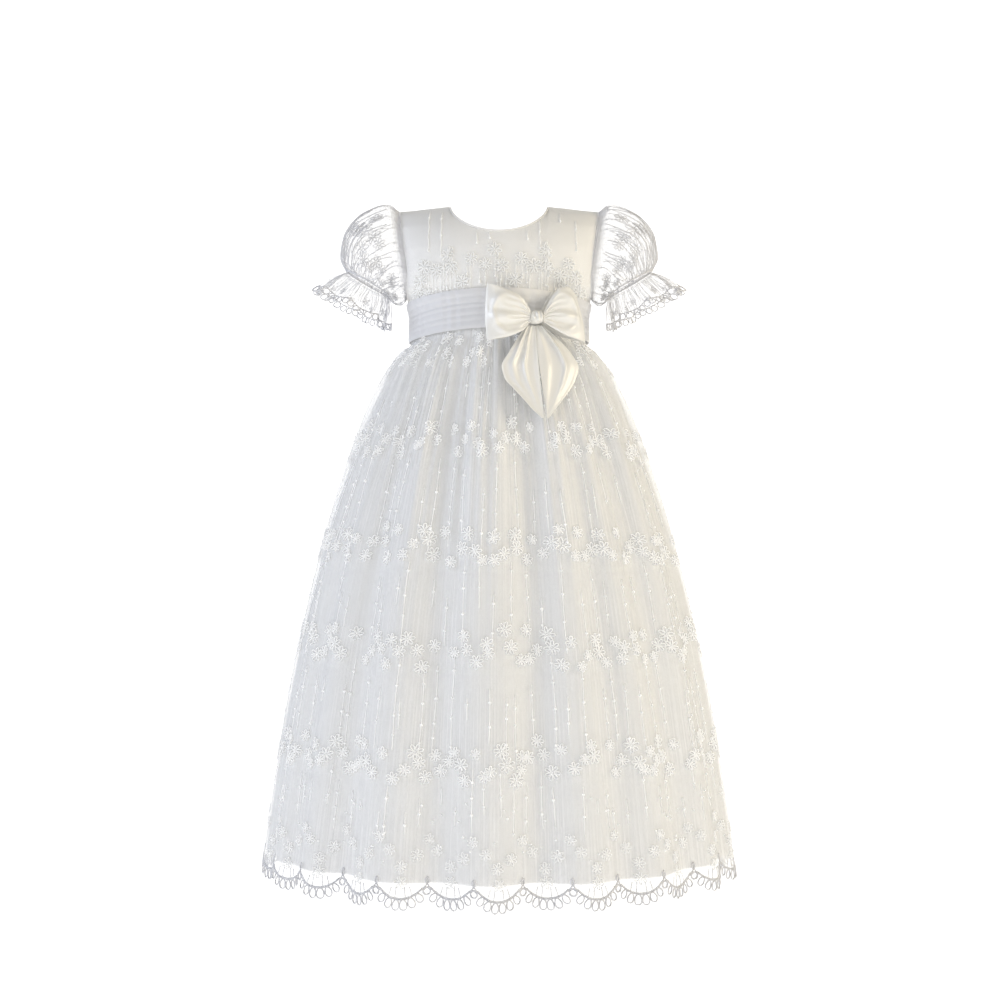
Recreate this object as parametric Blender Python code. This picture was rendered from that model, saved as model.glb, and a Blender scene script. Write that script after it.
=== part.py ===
# Christening gown in its worn form, empty: a fitted bodice of embroidered tulle, short puff sleeves
# with lace ruffles, a pleated sash with a satin bow, and a long gathered tulle skirt with a scalloped
# lace hem over a plain lining.
# Metres, +Z up, front facing -Y. The origin is level with the top of the shoulder seams, in the middle
# of the neck. Left and right are as seen from the front, so left is -X.

import math
from collections import namedtuple

import bpy
import bmesh
from mathutils import Vector

# Driving dimensions, in metres
TULLE_WALL = 0.0012
LINING_WALL = 0.0012
ORGANZA_WALL = 0.0015
SATIN_WALL = 0.0010
SEAM_GAP = 0.0003              # between pieces that are sewn edge to edge
LAID_GAP = 0.0005              # between a piece and the panel that it lies on

NECK_HALF_WIDTH = 0.046
FRONT_NECK_DROP = 0.032
BACK_NECK_DROP = 0.014
SHOULDER_DROP = 0.004          # fall of the shoulder seam from neck to sleeve head
SHOULDER_ROUND = 0.060         # height over which the chest rounds back to the shoulder seam
FRONT_CHEST_DEPTH = 0.060
BACK_CHEST_DEPTH = 0.055
CHEST_SWELL = 0.020            # height above the underarm over which the chest reaches its depth
OPENING_GAP = 0.0004           # between the two backs, at the button closing

WAIST_SEAM = -0.105
WAIST_LIFT = 0.008             # the waist rides higher at the front centre than at the sides
LIFT_TOP = -0.035              # the lift has died out at these two heights
LIFT_END = -0.190
SASH_TOP = -0.093
SASH_BOTTOM = -0.129

HEM = -0.609                   # points where two lace scallops meet
DEPTH_GROWTH = 0.52            # how much the skirt deepens for each metre that it widens
SCALLOPS = 26
SCALLOP_DEPTH = 0.0130
HEM_LOOPS = 7                  # picot loops in each scallop
GATHERS = 52                   # gathers of the skirt at the waist

SLEEVE_GATHERS = 12
RUFFLE_WAVES = 8
RUFFLE_SCALLOPS = 8
RUFFLE_LOOPS = 5
RUFFLE_LENGTH = 0.036
RUFFLE_CUSP = 0.0255           # from the cuff to where two scallops meet
RUFFLE_SCALLOP_DEPTH = 0.0040
RUFFLE_EDGE = 0.294            # length round the ruffle's edge

KNOT = Vector((0.033, -0.0652, -0.113))
KNOT_SIZE = Vector((0.0066, 0.0099, 0.0070))
BOW_TURN = math.radians(16)    # the bow is turned to lie along the waist
LOOP_PUFF = 0.0052             # half the depth of a bow loop

BUTTON_RADIUS = 0.0045
BUTTON_HEIGHT = 0.0026
BUTTON_SIDE = 0.006            # distance of the buttons from the centre back

# The armhole seam from the top of the shoulder to the underarm; y is how far it stands from mid-depth
ArmholeRow = namedtuple("ArmholeRow", "z x y")
ARMHOLE = [
    ArmholeRow(-0.0040, 0.0940, 0.0000),
    ArmholeRow(-0.0100, 0.0930, 0.0115),
    ArmholeRow(-0.0240, 0.0912, 0.0210),
    ArmholeRow(-0.0460, 0.0876, 0.0270),
    ArmholeRow(-0.0670, 0.0855, 0.0265),
    ArmholeRow(-0.0810, 0.0862, 0.0180),
    ArmholeRow(-0.0875, 0.0872, 0.0000),
]

# The body from the underarm to the bottom of the sash
BodyRow = namedtuple("BodyRow", "z half_width half_depth")
BODY = [
    BodyRow(-0.0875, 0.0872, 0.0595),
    BodyRow(-0.1050, 0.0832, 0.0564),
    BodyRow(-0.1310, 0.0836, 0.0567),
]

# The skirt: its half width, the height of its gathers and the share of the big folds at each level
SkirtRow = namedtuple("SkirtRow", "z half_width gather fold")
SKIRT = [
    SkirtRow(-0.1053, 0.0832, 0.0000, 0.00),
    SkirtRow(-0.1310, 0.0836, 0.0000, 0.00),
    SkirtRow(-0.1370, 0.0970, 0.0018, 0.10),
    SkirtRow(-0.1580, 0.1100, 0.0024, 0.40),
    SkirtRow(-0.2100, 0.1320, 0.0016, 0.85),
    SkirtRow(-0.3200, 0.1680, 0.0004, 1.00),
    SkirtRow(-0.4600, 0.2000, 0.0000, 1.00),
    SkirtRow(-0.6090, 0.2230, 0.0000, 1.00),
    SkirtRow(-0.6340, 0.2260, 0.0000, 1.00),
]

# The lining hangs straighter, well inside the tulle: how far inside, and its share of the big folds
LiningRow = namedtuple("LiningRow", "z inset fold")
LINING = [
    LiningRow(-0.1070, 0.0020, 0.00),
    LiningRow(-0.1310, 0.0022, 0.00),
    LiningRow(-0.1650, 0.0110, 0.10),
    LiningRow(-0.2600, 0.0120, 0.40),
    LiningRow(-0.4200, 0.0105, 0.40),
    LiningRow(-0.6085, 0.0085, 0.40),
]

# Big folds as valleys, by their angle from the front centre at the waist and at the hem
Fold = namedtuple("Fold", "waist hem depth half_width")
FOLDS = [
    Fold(-82, -77, 0.0045, 7),
    Fold(-63, -60, 0.0050, 7),
    Fold(-46, -41, 0.0075, 8),
    Fold(-24, -14, 0.0060, 7),
    Fold(11, 9, 0.0070, 7),
    Fold(29, 31, 0.0045, 6),
    Fold(43, 52, 0.0065, 8),
    Fold(68, 72, 0.0050, 7),
    Fold(92, 96, 0.0055, 8),
    Fold(112, 117, 0.0050, 7),
    Fold(134, 139, 0.0070, 8),
    Fold(157, 160, 0.0050, 7),
    Fold(183, 182, 0.0065, 8),
    Fold(205, 203, 0.0050, 7),
    Fold(226, 221, 0.0070, 8),
    Fold(251, 247, 0.0055, 7),
]

# Sash pleats: how far each row of the sash stands out, from its top edge down
SASH_RELIEF = [0.0, 0.0009, 0.0002, 0.0011, 0.0003, 0.0009, 0.0]

# Sleeve rings from armhole to cuff: each ring's highest and lowest point, half depth and gathers
SleeveRing = namedtuple("SleeveRing", "top_x top_z low_x low_z half_depth gather")
SLEEVE = [
    SleeveRing(0.1065, 0.0026, 0.0905, -0.0905, 0.0355, 0.0010),
    SleeveRing(0.1310, -0.0070, 0.0945, -0.0925, 0.0385, 0.0015),
    SleeveRing(0.1475, -0.0290, 0.0990, -0.0915, 0.0365, 0.0016),
    SleeveRing(0.1500, -0.0480, 0.1020, -0.0880, 0.0300, 0.0014),
    SleeveRing(0.1450, -0.0610, 0.1040, -0.0840, 0.0220, 0.0006),
]

# Ruffle rings from the cuff to the lace edge
RuffleRing = namedtuple("RuffleRing", "down top_x top_z low_x low_z half_depth wave")
RUFFLE = [
    RuffleRing(0.0000, 0.1455, -0.0618, 0.1043, -0.0848, 0.0220, 0.0005),
    RuffleRing(0.0120, 0.1560, -0.0672, 0.1038, -0.0955, 0.0285, 0.0026),
    RuffleRing(0.0255, 0.1672, -0.0752, 0.1052, -0.1080, 0.0345, 0.0040),
    RuffleRing(0.0360, 0.1760, -0.0815, 0.1066, -0.1172, 0.0390, 0.0048),
]

# Upper and lower edge of each bow loop, outward from the knot and up from its middle
LoopPoint = namedtuple("LoopPoint", "out_top up_top out_low up_low")
LOOP_LEFT = [
    LoopPoint(0.0063, 0.0050, 0.0063, -0.0050),
    LoopPoint(0.0150, 0.0170, 0.0150, -0.0135),
    LoopPoint(0.0270, 0.0225, 0.0270, -0.0185),
    LoopPoint(0.0370, 0.0265, 0.0370, -0.0205),
    LoopPoint(0.0455, 0.0285, 0.0455, -0.0225),
]
LOOP_RIGHT = [
    LoopPoint(0.0063, 0.0052, 0.0063, -0.0050),
    LoopPoint(0.0125, 0.0170, 0.0130, -0.0095),
    LoopPoint(0.0210, 0.0260, 0.0250, -0.0155),
    LoopPoint(0.0300, 0.0280, 0.0360, -0.0185),
    LoopPoint(0.0390, 0.0200, 0.0475, -0.0210),
]

# Bow tails: their outer edges, the slit between them, and how far they stand forward at the slit
TailRow = namedtuple("TailRow", "z left slit right forward")
TAILS = [
    TailRow(-0.1203, 0.0240, 0.0328, 0.0410, 0.0625),
    TailRow(-0.1330, 0.0145, 0.0335, 0.0565, 0.0655),
    TailRow(-0.1450, 0.0065, 0.0347, 0.0670, 0.0690),
    TailRow(-0.1580, 0.0025, 0.0360, 0.0700, 0.0730),
    TailRow(-0.1690, 0.0032, 0.0372, 0.0682, 0.0757),
    TailRow(-0.1780, 0.0110, 0.0382, 0.0650, 0.0778),
    TailRow(-0.1870, 0.0200, 0.0393, 0.0585, 0.0800),
    TailRow(-0.1960, 0.0285, 0.0403, 0.0505, 0.0822),
    TailRow(-0.2045, 0.0362, 0.0412, 0.0435, 0.0840),
]


def clamp(value, low=0.0, high=1.0):
    return max(low, min(high, value))


def straight(keys, values, key):
    # Value on the straight runs between table rows; keys rise
    if key <= keys[0]:
        return values[0]
    for k in range(len(keys) - 1):
        if key <= keys[k + 1]:
            share = (key - keys[k]) / (keys[k + 1] - keys[k])
            return values[k] + (values[k + 1] - values[k]) * share
    return values[-1]


def smooth(keys, values, key):
    # Value on a smooth curve through table rows that never overshoots them; keys rise
    key = clamp(key, keys[0], keys[-1])
    last = len(keys) - 2
    k = next((i for i in range(last) if key <= keys[i + 1]), last)
    runs = [(values[i + 1] - values[i]) / (keys[i + 1] - keys[i]) for i in range(last + 1)]

    def slope(i):
        if i == 0 or i == last + 1:
            return runs[min(i, last)]
        before, after = runs[i - 1], runs[i]
        return 0.0 if before * after <= 0 else 2 * before * after / (before + after)

    width = keys[k + 1] - keys[k]
    t = (key - keys[k]) / width
    ends = values[k] * (1 + 2 * t) * (1 - t) ** 2 + values[k + 1] * t * t * (3 - 2 * t)
    return ends + width * t * (1 - t) * (slope(k) * (1 - t) - slope(k + 1) * t)


def down(rows, column, z, curve=smooth):
    # One column of a table whose rows run down the body, at height z
    return curve([-row.z for row in rows], [getattr(row, column) for row in rows], -z)


def normal_at(place, u, v, side):
    step = 0.0005
    along = place(u + step, v) - place(u - step, v)
    across = place(u, v + step) - place(u, v - step)
    return along.cross(across).normalized() * side


def inside(place, u, v, depth, side):
    # The point `depth` inside the surface place(u, v), along the surface's own normal
    return place(u, v) - normal_at(place, u, v, side) * depth


class Sheet:
    # A flat pattern piece: points (u, v) joined by triangles, later placed in space as a cloth wall
    def __init__(self):
        self.points = []
        self.faces = []

    def row(self, along, v):
        start = len(self.points)
        self.points += [(u, v) for u in along]
        return list(range(start, len(self.points)))

    def grid(self, along, levels, closed=False):
        # Rows of points at each level, joined; a closed grid runs round a tube
        rows = [self.row(along, v) for v in levels]
        for upper, lower in zip(rows, rows[1:]):
            self.strip(upper, lower, closed)
        return rows

    def strip(self, upper, lower, closed=False):
        count = len(upper)
        for i in range(count if closed else count - 1):
            j = (i + 1) % count
            self.faces.append((upper[i], lower[i], lower[j]))
            self.faces.append((upper[i], lower[j], upper[j]))

    def stitch(self, upper, lower):
        # Join two rows with different numbers of points, which may share their end points
        i = j = 0
        while i < len(upper) - 1 or j < len(lower) - 1:
            next_upper = self.points[upper[i + 1]][0] if i < len(upper) - 1 else math.inf
            next_lower = self.points[lower[j + 1]][0] if j < len(lower) - 1 else math.inf
            if next_upper < next_lower:
                face = (upper[i], lower[j], upper[i + 1])
                i += 1
            else:
                face = (upper[i], lower[j], lower[j + 1])
                j += 1
            if len(set(face)) == 3:
                self.faces.append(face)

    def build(self, name, outer, inner, material):
        # Outer and inner layer, with a rim along every open edge, holes included
        mesh = bmesh.new()
        front = [mesh.verts.new(outer(u, v)) for u, v in self.points]
        back = [mesh.verts.new(inner(u, v)) for u, v in self.points]
        sides = set()
        for face in self.faces:
            mesh.faces.new([front[i] for i in face])
            mesh.faces.new([back[i] for i in reversed(face)])
            sides.update(zip(face, face[1:] + face[:1]))
        for a, b in sorted(sides):
            if (b, a) not in sides:
                mesh.faces.new((front[b], front[a], back[a]))
                mesh.faces.new((front[b], back[a], back[b]))
        return finish(name, mesh, material)


def finish(name, mesh, material):
    # Turn the faces outward and put the object in the scene
    mesh.normal_update()
    bmesh.ops.recalc_face_normals(mesh, faces=mesh.faces)
    data = bpy.data.meshes.new(name)
    mesh.to_mesh(data)
    mesh.free()
    data.materials.append(material)
    data.shade_smooth()
    data.set_sharp_from_angle(angle=math.radians(40))
    made = bpy.data.objects.new(name, data)
    bpy.context.scene.collection.objects.link(made)
    return made


def make_material(name, color, roughness):
    made = bpy.data.materials.new(name)
    made.use_nodes = True
    shader = made.node_tree.nodes["Principled BSDF"]
    shader.inputs["Base Color"].default_value = (*color, 1.0)
    shader.inputs["Roughness"].default_value = roughness
    shader.inputs["Metallic"].default_value = 0.0
    return made


# Lace edge: a row of scallops, each with picot loops whose holes are cut through

# notch and tip are how far a loop reaches from the arc, at its sides and at its middle; a loop with no
# tip ends straight. bar is half the width of the bars between loops and cord that of their ends
LaceSize = namedtuple("LaceSize", "pitch loops depth notch tip bar cord")


def lace_arc(size, share):
    # Depth of the scallop's corded arc, 0 and 1 being its two ends
    return size.depth * (1 - abs(2 * share - 1) ** 2.2)


def lace_frame(size, share):
    # Point on the arc, with the directions along it and away from it, in the pattern's plane
    step = 0.02
    before, after = max(share - step, 0.0), min(share + step, 1.0)
    along = Vector(((after - before) * size.pitch, lace_arc(size, after) - lace_arc(size, before)))
    along.normalize()
    if share in (0.0, 1.0):
        along = Vector((1.0, 0.0))
    return Vector((share * size.pitch, lace_arc(size, share))), along, Vector((-along.y, along.x))


def lace_scallop(sheet, size, row, u, v, first_end):
    # One scallop hung from the points of `row`; (u, v) is its upper left corner. first_end is the foot
    # of the bar that it shares with the scallop before it
    corner = Vector((u, v))

    def add(point):
        sheet.points.append(tuple(corner + point))
        return len(sheet.points) - 1

    frames = [lace_frame(size, k / size.loops) for k in range(size.loops + 1)]
    arc = [row[0]] + [add(point) for point, _, _ in frames[1:-1]] + [row[-1]]
    sheet.stitch(row, arc)
    ends = [add(point + away * size.notch) for point, _, away in frames[1:]]
    ends.insert(0, add(frames[0][2] * size.notch) if first_end is None else first_end)
    for k in range(size.loops):
        left, along_left, away_left = frames[k]
        right, along_right, away_right = frames[k + 1]
        middle, _, away = lace_frame(size, (k + 0.5) / size.loops)
        bar, cord, low = size.bar, size.cord, size.notch - size.cord * 0.7
        hole = [
            add(left + along_left * bar + away_left * cord),
            add(right - along_right * bar + away_right * cord),
            add(right - along_right * bar + away_right * low),
            add(left + along_left * bar + away_left * low),
        ]
        sheet.faces += [
            (arc[k], hole[0], arc[k + 1]), (hole[0], hole[1], arc[k + 1]),
            (arc[k + 1], hole[1], hole[2]), (arc[k + 1], hole[2], ends[k + 1]),
            (ends[k], hole[3], hole[0]), (ends[k], hole[0], arc[k]),
        ]
        if size.tip:
            tip = add(middle + away * size.tip)
            sheet.faces += [
                (ends[k + 1], hole[2], tip), (hole[2], hole[3], tip), (tip, hole[3], ends[k]),
            ]
        else:
            sheet.faces += [(ends[k + 1], hole[2], hole[3]), (ends[k + 1], hole[3], ends[k])]
    return ends[-1]


def lace_edge(sheet, size, row, columns, u, v, scallops):
    # Scallops along the bottom row of a panel, `columns` strips of the panel to each
    end = None
    for k in range(scallops):
        part = row[k * columns:(k + 1) * columns + 1]
        end = lace_scallop(sheet, size, part, u + k * size.pitch, v, end)


# Body surfaces

def waist_lift(angle):
    return WAIST_LIFT * max(0.0, math.cos(angle)) ** 2


def armhole(column, z):
    return straight([-row.z for row in ARMHOLE], [getattr(row, column) for row in ARMHOLE], -z)


def bodice_edge(z):
    # Where a bodice panel ends at height z: on the armhole, or below it on the side seam
    if z >= ARMHOLE[-1].z:
        return armhole("x", z), armhole("y", z)
    return down(BODY, "half_width", z, straight), 0.0


def bodice_top(x, neck_drop):
    # Height of the neckline or the shoulder seam at x
    if abs(x) < NECK_HALF_WIDTH:
        return -neck_drop * math.sqrt(1 - (x / NECK_HALF_WIDTH) ** 2)
    return shoulder_line(x)


def shoulder_line(x):
    run = ARMHOLE[0].x - NECK_HALF_WIDTH
    return -SHOULDER_DROP * clamp((abs(x) - NECK_HALF_WIDTH) / run)


def bodice_point(angle, share, face, neck_drop, chest_depth):
    # angle runs from one armhole to the other, share from the waist seam to the top; face is 1 for the
    # front and -1 for the back
    across = math.sin(angle)
    top = 0.0
    for _ in range(8):
        top = bodice_top(bodice_edge(top)[0] * across, neck_drop)
    level = WAIST_SEAM + (top - WAIST_SEAM) * share
    lift = waist_lift(angle) if face > 0 else 0.0
    z = level + lift * clamp((LIFT_TOP - level) / (LIFT_TOP - ARMHOLE[-1].z))
    half_width, edge_depth = bodice_edge(level)
    x = half_width * across
    rise = clamp(1 + (z - shoulder_line(x)) / SHOULDER_ROUND)
    if level < ARMHOLE[-1].z:
        chest = down(BODY, "half_depth", level, straight)
    else:
        swell = clamp((level - ARMHOLE[-1].z) / CHEST_SWELL)
        chest = BODY[0].half_depth + (chest_depth - BODY[0].half_depth) * swell
    depth = chest * math.sqrt(1 - rise * rise)
    y = edge_depth + max(depth - edge_depth, 0.0) * math.cos(angle) + SEAM_GAP / 2
    return Vector((x, -face * y, z))


def bodice_inner(place, angle, share, face):
    # The bodice's inner layer; at its edges the normal of the cloth just beside them is used, and the
    # layer stays on its own side of the shoulder and side seams
    near_edge = math.radians(86)
    normal = normal_at(place, clamp(angle, -near_edge, near_edge), min(share, 0.99), face)
    point = place(angle, share) - normal * TULLE_WALL
    point.y = -face * max(-face * point.y, SEAM_GAP / 2)
    return point


def arc_angles(half_width, half_depth, steps=720):
    # Angles round an ellipse at equal steps along its outline
    total, marks = 0.0, [0.0]
    for k in range(steps):
        middle = math.tau * (k + 0.5) / steps
        total += math.hypot(half_width * math.cos(middle), half_depth * math.sin(middle))
        marks.append(total)
    return [mark / total for mark in marks]


def depth_for(half_width):
    return BODY[1].half_depth + (half_width - BODY[1].half_width) * DEPTH_GROWTH


HEM_HALF_WIDTH = SKIRT[-2].half_width
HEM_MARKS = arc_angles(HEM_HALF_WIDTH, depth_for(HEM_HALF_WIDTH))
HEM_LENGTH = 1.190             # round the hem, over its folds
HEM_LACE = LaceSize(HEM_LENGTH / SCALLOPS, HEM_LOOPS, SCALLOP_DEPTH, 0.0074, 0.0092, 0.0007, 0.0013)
RUFFLE_LACE = LaceSize(RUFFLE_EDGE / RUFFLE_SCALLOPS, RUFFLE_LOOPS, RUFFLE_SCALLOP_DEPTH,
                       0.0068, 0.0, 0.0008, 0.0012)


def turn_angle(turn):
    # Angle from the front centre, for a share of the way round the hem
    whole = math.floor(turn)
    share = turn - whole
    steps = len(HEM_MARKS) - 1
    low, high = 0, steps
    while high - low > 1:
        middle = (low + high) // 2
        if HEM_MARKS[middle] <= share:
            low = middle
        else:
            high = middle
    part = (share - HEM_MARKS[low]) / (HEM_MARKS[high] - HEM_MARKS[low])
    return math.tau * (whole + (low + part) / steps)


def fold_depth(angle, z):
    # Depth of the big folds at an angle and height, measured inward
    fall = clamp((SASH_BOTTOM - z) / (SASH_BOTTOM - HEM)) ** 0.7
    total = 0.0
    for fold in FOLDS:
        valley = fold.waist + (fold.hem - fold.waist) * fall
        away = (math.degrees(angle) - valley + 180) % 360 - 180
        total += fold.depth * math.exp(-(away / fold.half_width) ** 2)
    return total


def on_ring(angle, half_width, half_depth, z):
    lift = waist_lift(angle) * clamp((z - LIFT_END) / (SASH_BOTTOM - LIFT_END))
    return Vector((half_width * math.sin(angle), -half_depth * math.cos(angle), z + lift))


def skirt_point(u, z):
    # u runs round the skirt in metres of hem, from the front centre
    angle = turn_angle(u / HEM_LENGTH)
    half_width = down(SKIRT, "half_width", z)
    gather = down(SKIRT, "gather", z) * math.cos(math.tau * GATHERS * u / HEM_LENGTH)
    bump = gather - down(SKIRT, "fold", z) * fold_depth(angle, z)
    return on_ring(angle, half_width + bump, depth_for(half_width) + bump, z)


def lining_point(u, z):
    angle = math.tau * u
    half_width = down(SKIRT, "half_width", z)
    bump = -down(LINING, "inset", z) - down(LINING, "fold", z) * fold_depth(angle, z)
    return on_ring(angle, half_width + bump, depth_for(half_width) + bump, z)


# Sleeve surfaces

def sleeve_ring(ring, turn, bulge):
    # Point on a sleeve ring; turn 0 is its top, a quarter is its front
    top = Vector((ring.top_x, 0.0, ring.top_z))
    low = Vector((ring.low_x, 0.0, ring.low_z))
    middle, half = (top + low) / 2, (top - low) / 2
    cos, sin = math.cos(math.tau * turn), math.sin(math.tau * turn)
    radial = half.normalized() * cos + Vector((0.0, -sin, 0.0))
    return middle + half * cos + Vector((0.0, -ring.half_depth * sin, 0.0)) + radial * bulge


def sleeve_head(turn):
    # The sleeve's sewn edge, along the armhole and a seam's gap outside it
    turn = turn % 1.0
    share = 2 * turn if turn <= 0.5 else 2 - 2 * turn
    keys = [k / (len(ARMHOLE) - 1) for k in range(len(ARMHOLE))]
    x, y, z = (straight(keys, [getattr(row, c) for row in ARMHOLE], share) for c in "xyz")
    return Vector((x + SEAM_GAP, -y if turn <= 0.5 else y, z))


def sleeve_point(turn, level):
    # level 0 is the armhole and each ring of the table is 1 more
    rings = [sleeve_head(turn)]
    wave = math.cos(math.tau * SLEEVE_GATHERS * turn)
    rings += [sleeve_ring(ring, turn, ring.gather * wave) for ring in SLEEVE]
    keys = list(range(len(rings)))
    return Vector([smooth(keys, [ring[axis] for ring in rings], level) for axis in range(3)])


def ruffle_point(u, v):
    # u runs round the ruffle's edge in metres from its top, v from the cuff to the edge
    turn = u / RUFFLE_EDGE
    wave = math.cos(math.tau * RUFFLE_WAVES * turn + 0.6)
    rings = [sleeve_ring(ring, turn, ring.wave * wave) for ring in RUFFLE]
    keys = [ring.down for ring in RUFFLE]
    point = Vector([smooth(keys, [ring[axis] for ring in rings], v) for axis in range(3)])
    past = max(0.0, v - RUFFLE_LENGTH)
    return point + (rings[-1] - rings[-2]).normalized() * past


def mirrored(place, side):
    return lambda u, v: Vector((side, 1, 1)) * place(u, v)


# Pieces

def make_bodice(material):
    columns = [0, 10, 19, 25, 28, 29.3, 38, 52, 70, 90]
    right = [math.radians(angle) for angle in columns]
    height = ARMHOLE[0].z - WAIST_SEAM
    levels = [0.0] + [(row.z - WAIST_SEAM) / height for row in reversed(ARMHOLE)]

    def front(angle, share):
        return bodice_point(angle, share, 1, FRONT_NECK_DROP, FRONT_CHEST_DEPTH)

    def back(angle, share):
        point = bodice_point(angle, share, -1, BACK_NECK_DROP, BACK_CHEST_DEPTH)
        if abs(point.x) < OPENING_GAP / 2:
            point.x = math.copysign(OPENING_GAP / 2, angle)
        return point

    sheet = Sheet()
    sheet.grid([-angle for angle in reversed(right[1:])] + right, levels)
    sheet.build("bodice_front", front, lambda u, v: bodice_inner(front, u, v, 1), material)
    nearest = math.radians(0.05)
    for side, name in ((-1, "bodice_back_left"), (1, "bodice_back_right")):
        half = Sheet()
        half.grid([side * angle for angle in [nearest] + right[1:]], levels)

        def lining_side(angle, share):
            point = bodice_inner(back, angle, share, -1)
            if abs(angle) <= nearest:
                point.x = math.copysign(OPENING_GAP / 2, angle)
            return point

        half.build(name, back, lining_side, material)


def make_buttons(material):
    heights = (0.86, 0.56, 0.26)
    angle = math.asin(BUTTON_SIDE / BODY[0].half_width)
    for k, share in enumerate(heights):
        def back(u, v):
            return bodice_point(u, v, -1, BACK_NECK_DROP, BACK_CHEST_DEPTH)
        seat = back(angle, share)
        outward = (seat - inside(back, angle, share, 0.001, -1)).normalized()
        mesh = bmesh.new()
        profile = [(0.80, 0.0), (1.0, 0.45), (0.70, 1.0)]
        rings = []
        for radius, height in profile:
            ring = []
            for step in range(12):
                turn = math.tau * step / 12
                flat = Vector((math.cos(turn), math.sin(turn), 0)) * BUTTON_RADIUS * radius
                ring.append(mesh.verts.new(flat + Vector((0, 0, BUTTON_HEIGHT * height))))
            rings.append(ring)
        for lower, upper in zip(rings, rings[1:]):
            for i in range(12):
                j = (i + 1) % 12
                mesh.faces.new((lower[i], lower[j], upper[j], upper[i]))
        mesh.faces.new(rings[0])
        mesh.faces.new(rings[-1])
        made = finish(f"button_{k + 1}", mesh, material)
        made.rotation_euler = outward.to_track_quat("Z", "Y").to_euler()
        made.location = seat + outward * SEAM_GAP


def make_sleeves(material):
    columns = SLEEVE_GATHERS * 2
    for side, name in ((-1, "sleeve_left"), (1, "sleeve_right")):
        sheet = Sheet()
        sheet.grid([k / columns for k in range(columns)], list(range(len(SLEEVE) + 1)), closed=True)

        def inner(u, v):
            return inside(sleeve_point, u, v, TULLE_WALL, 1)

        sheet.build(name, mirrored(sleeve_point, side), mirrored(inner, side), material)


def make_ruffles(material):
    half_count = RUFFLE_SCALLOPS // 2
    half_edge = RUFFLE_EDGE / 2
    columns = half_count * RUFFLE_LOOPS
    for side, arm in ((-1, "left"), (1, "right")):
        for start, half in ((0.0, "front"), (half_edge, "back")):
            sheet = Sheet()
            along = [start + half_edge * k / columns for k in range(columns + 1)]
            rows = sheet.grid(along, [0.0, RUFFLE[1].down, RUFFLE_CUSP])
            lace_edge(sheet, RUFFLE_LACE, rows[-1], RUFFLE_LOOPS, start, RUFFLE_CUSP, half_count)

            def inner(u, v):
                return inside(ruffle_point, u, v, TULLE_WALL, 1)

            sheet.build(f"ruffle_{arm}_{half}", mirrored(in_half(ruffle_point, half), side),
                        mirrored(in_half(inner, half), side), material)


def in_half(place, half):
    # Keep a half on its own side of the seam at mid-depth, with the seam's gap
    def kept(u, v):
        point = place(u, v)
        if half == "front":
            point.y = min(point.y, -SEAM_GAP / 2)
        else:
            point.y = max(point.y, SEAM_GAP / 2)
        return point
    return kept


def make_skirt(material):
    columns = 4
    half_count = SCALLOPS // 2
    half_hem = HEM_LENGTH / 2
    count = half_count * columns
    drops = [-row.z for row in SKIRT[:-1]]

    def outer(u, drop):
        return skirt_point(u, -drop)

    def inner(u, drop):
        return inside(outer, u, drop, TULLE_WALL, -1)

    for start, half in ((-half_hem / 2, "front"), (half_hem / 2, "back")):
        sheet = Sheet()
        rows = sheet.grid([start + half_hem * k / count for k in range(count + 1)], drops)
        lace_edge(sheet, HEM_LACE, rows[-1], columns, start, -HEM, half_count)
        sheet.build(f"skirt_{half}", in_half(outer, half), in_half(inner, half), material)


def make_lining(material):
    # u is the share of the way round from the front centre, so the side seams are at the quarters
    columns = 16

    def inner(u, v):
        return inside(lining_point, u, v, LINING_WALL, 1)

    for start, half in ((-0.25, "front"), (0.25, "back")):
        sheet = Sheet()
        sheet.grid([start + 0.5 * k / columns for k in range(columns + 1)], [row.z for row in LINING])
        sheet.build(f"skirt_lining_{half}", in_half(lining_point, half), in_half(inner, half), material)


def make_sash(material):
    columns = 36
    rows = len(SASH_RELIEF)
    gap_angle = 0.0025             # half the gap where the sash closes at the centre back

    def layer(angle, row, out):
        z = SASH_TOP + (SASH_BOTTOM - SASH_TOP) * row / (rows - 1)
        half_width = down(BODY, "half_width", z, straight) + out
        half_depth = down(BODY, "half_depth", z, straight) + out
        point = on_ring(angle, half_width, half_depth, z)
        point.z = z + waist_lift(angle)
        return point

    def outer(angle, row):
        return layer(angle, row, LAID_GAP + ORGANZA_WALL + SASH_RELIEF[row])

    def inner(angle, row):
        return layer(angle, row, LAID_GAP)

    low, high = -math.pi + gap_angle, math.pi - gap_angle
    sheet = Sheet()
    sheet.grid([low + (high - low) * k / columns for k in range(columns + 1)], list(range(rows)))
    sheet.build("sash", outer, inner, material)


def bow_space(side, out, forward, up):
    # From the bow's own directions to the gown's
    along = Vector((math.cos(BOW_TURN), math.sin(BOW_TURN), 0.0))
    facing = Vector((math.sin(BOW_TURN), -math.cos(BOW_TURN), 0.0))
    return KNOT + along * side * out + facing * forward + Vector((0.0, 0.0, up))


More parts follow.
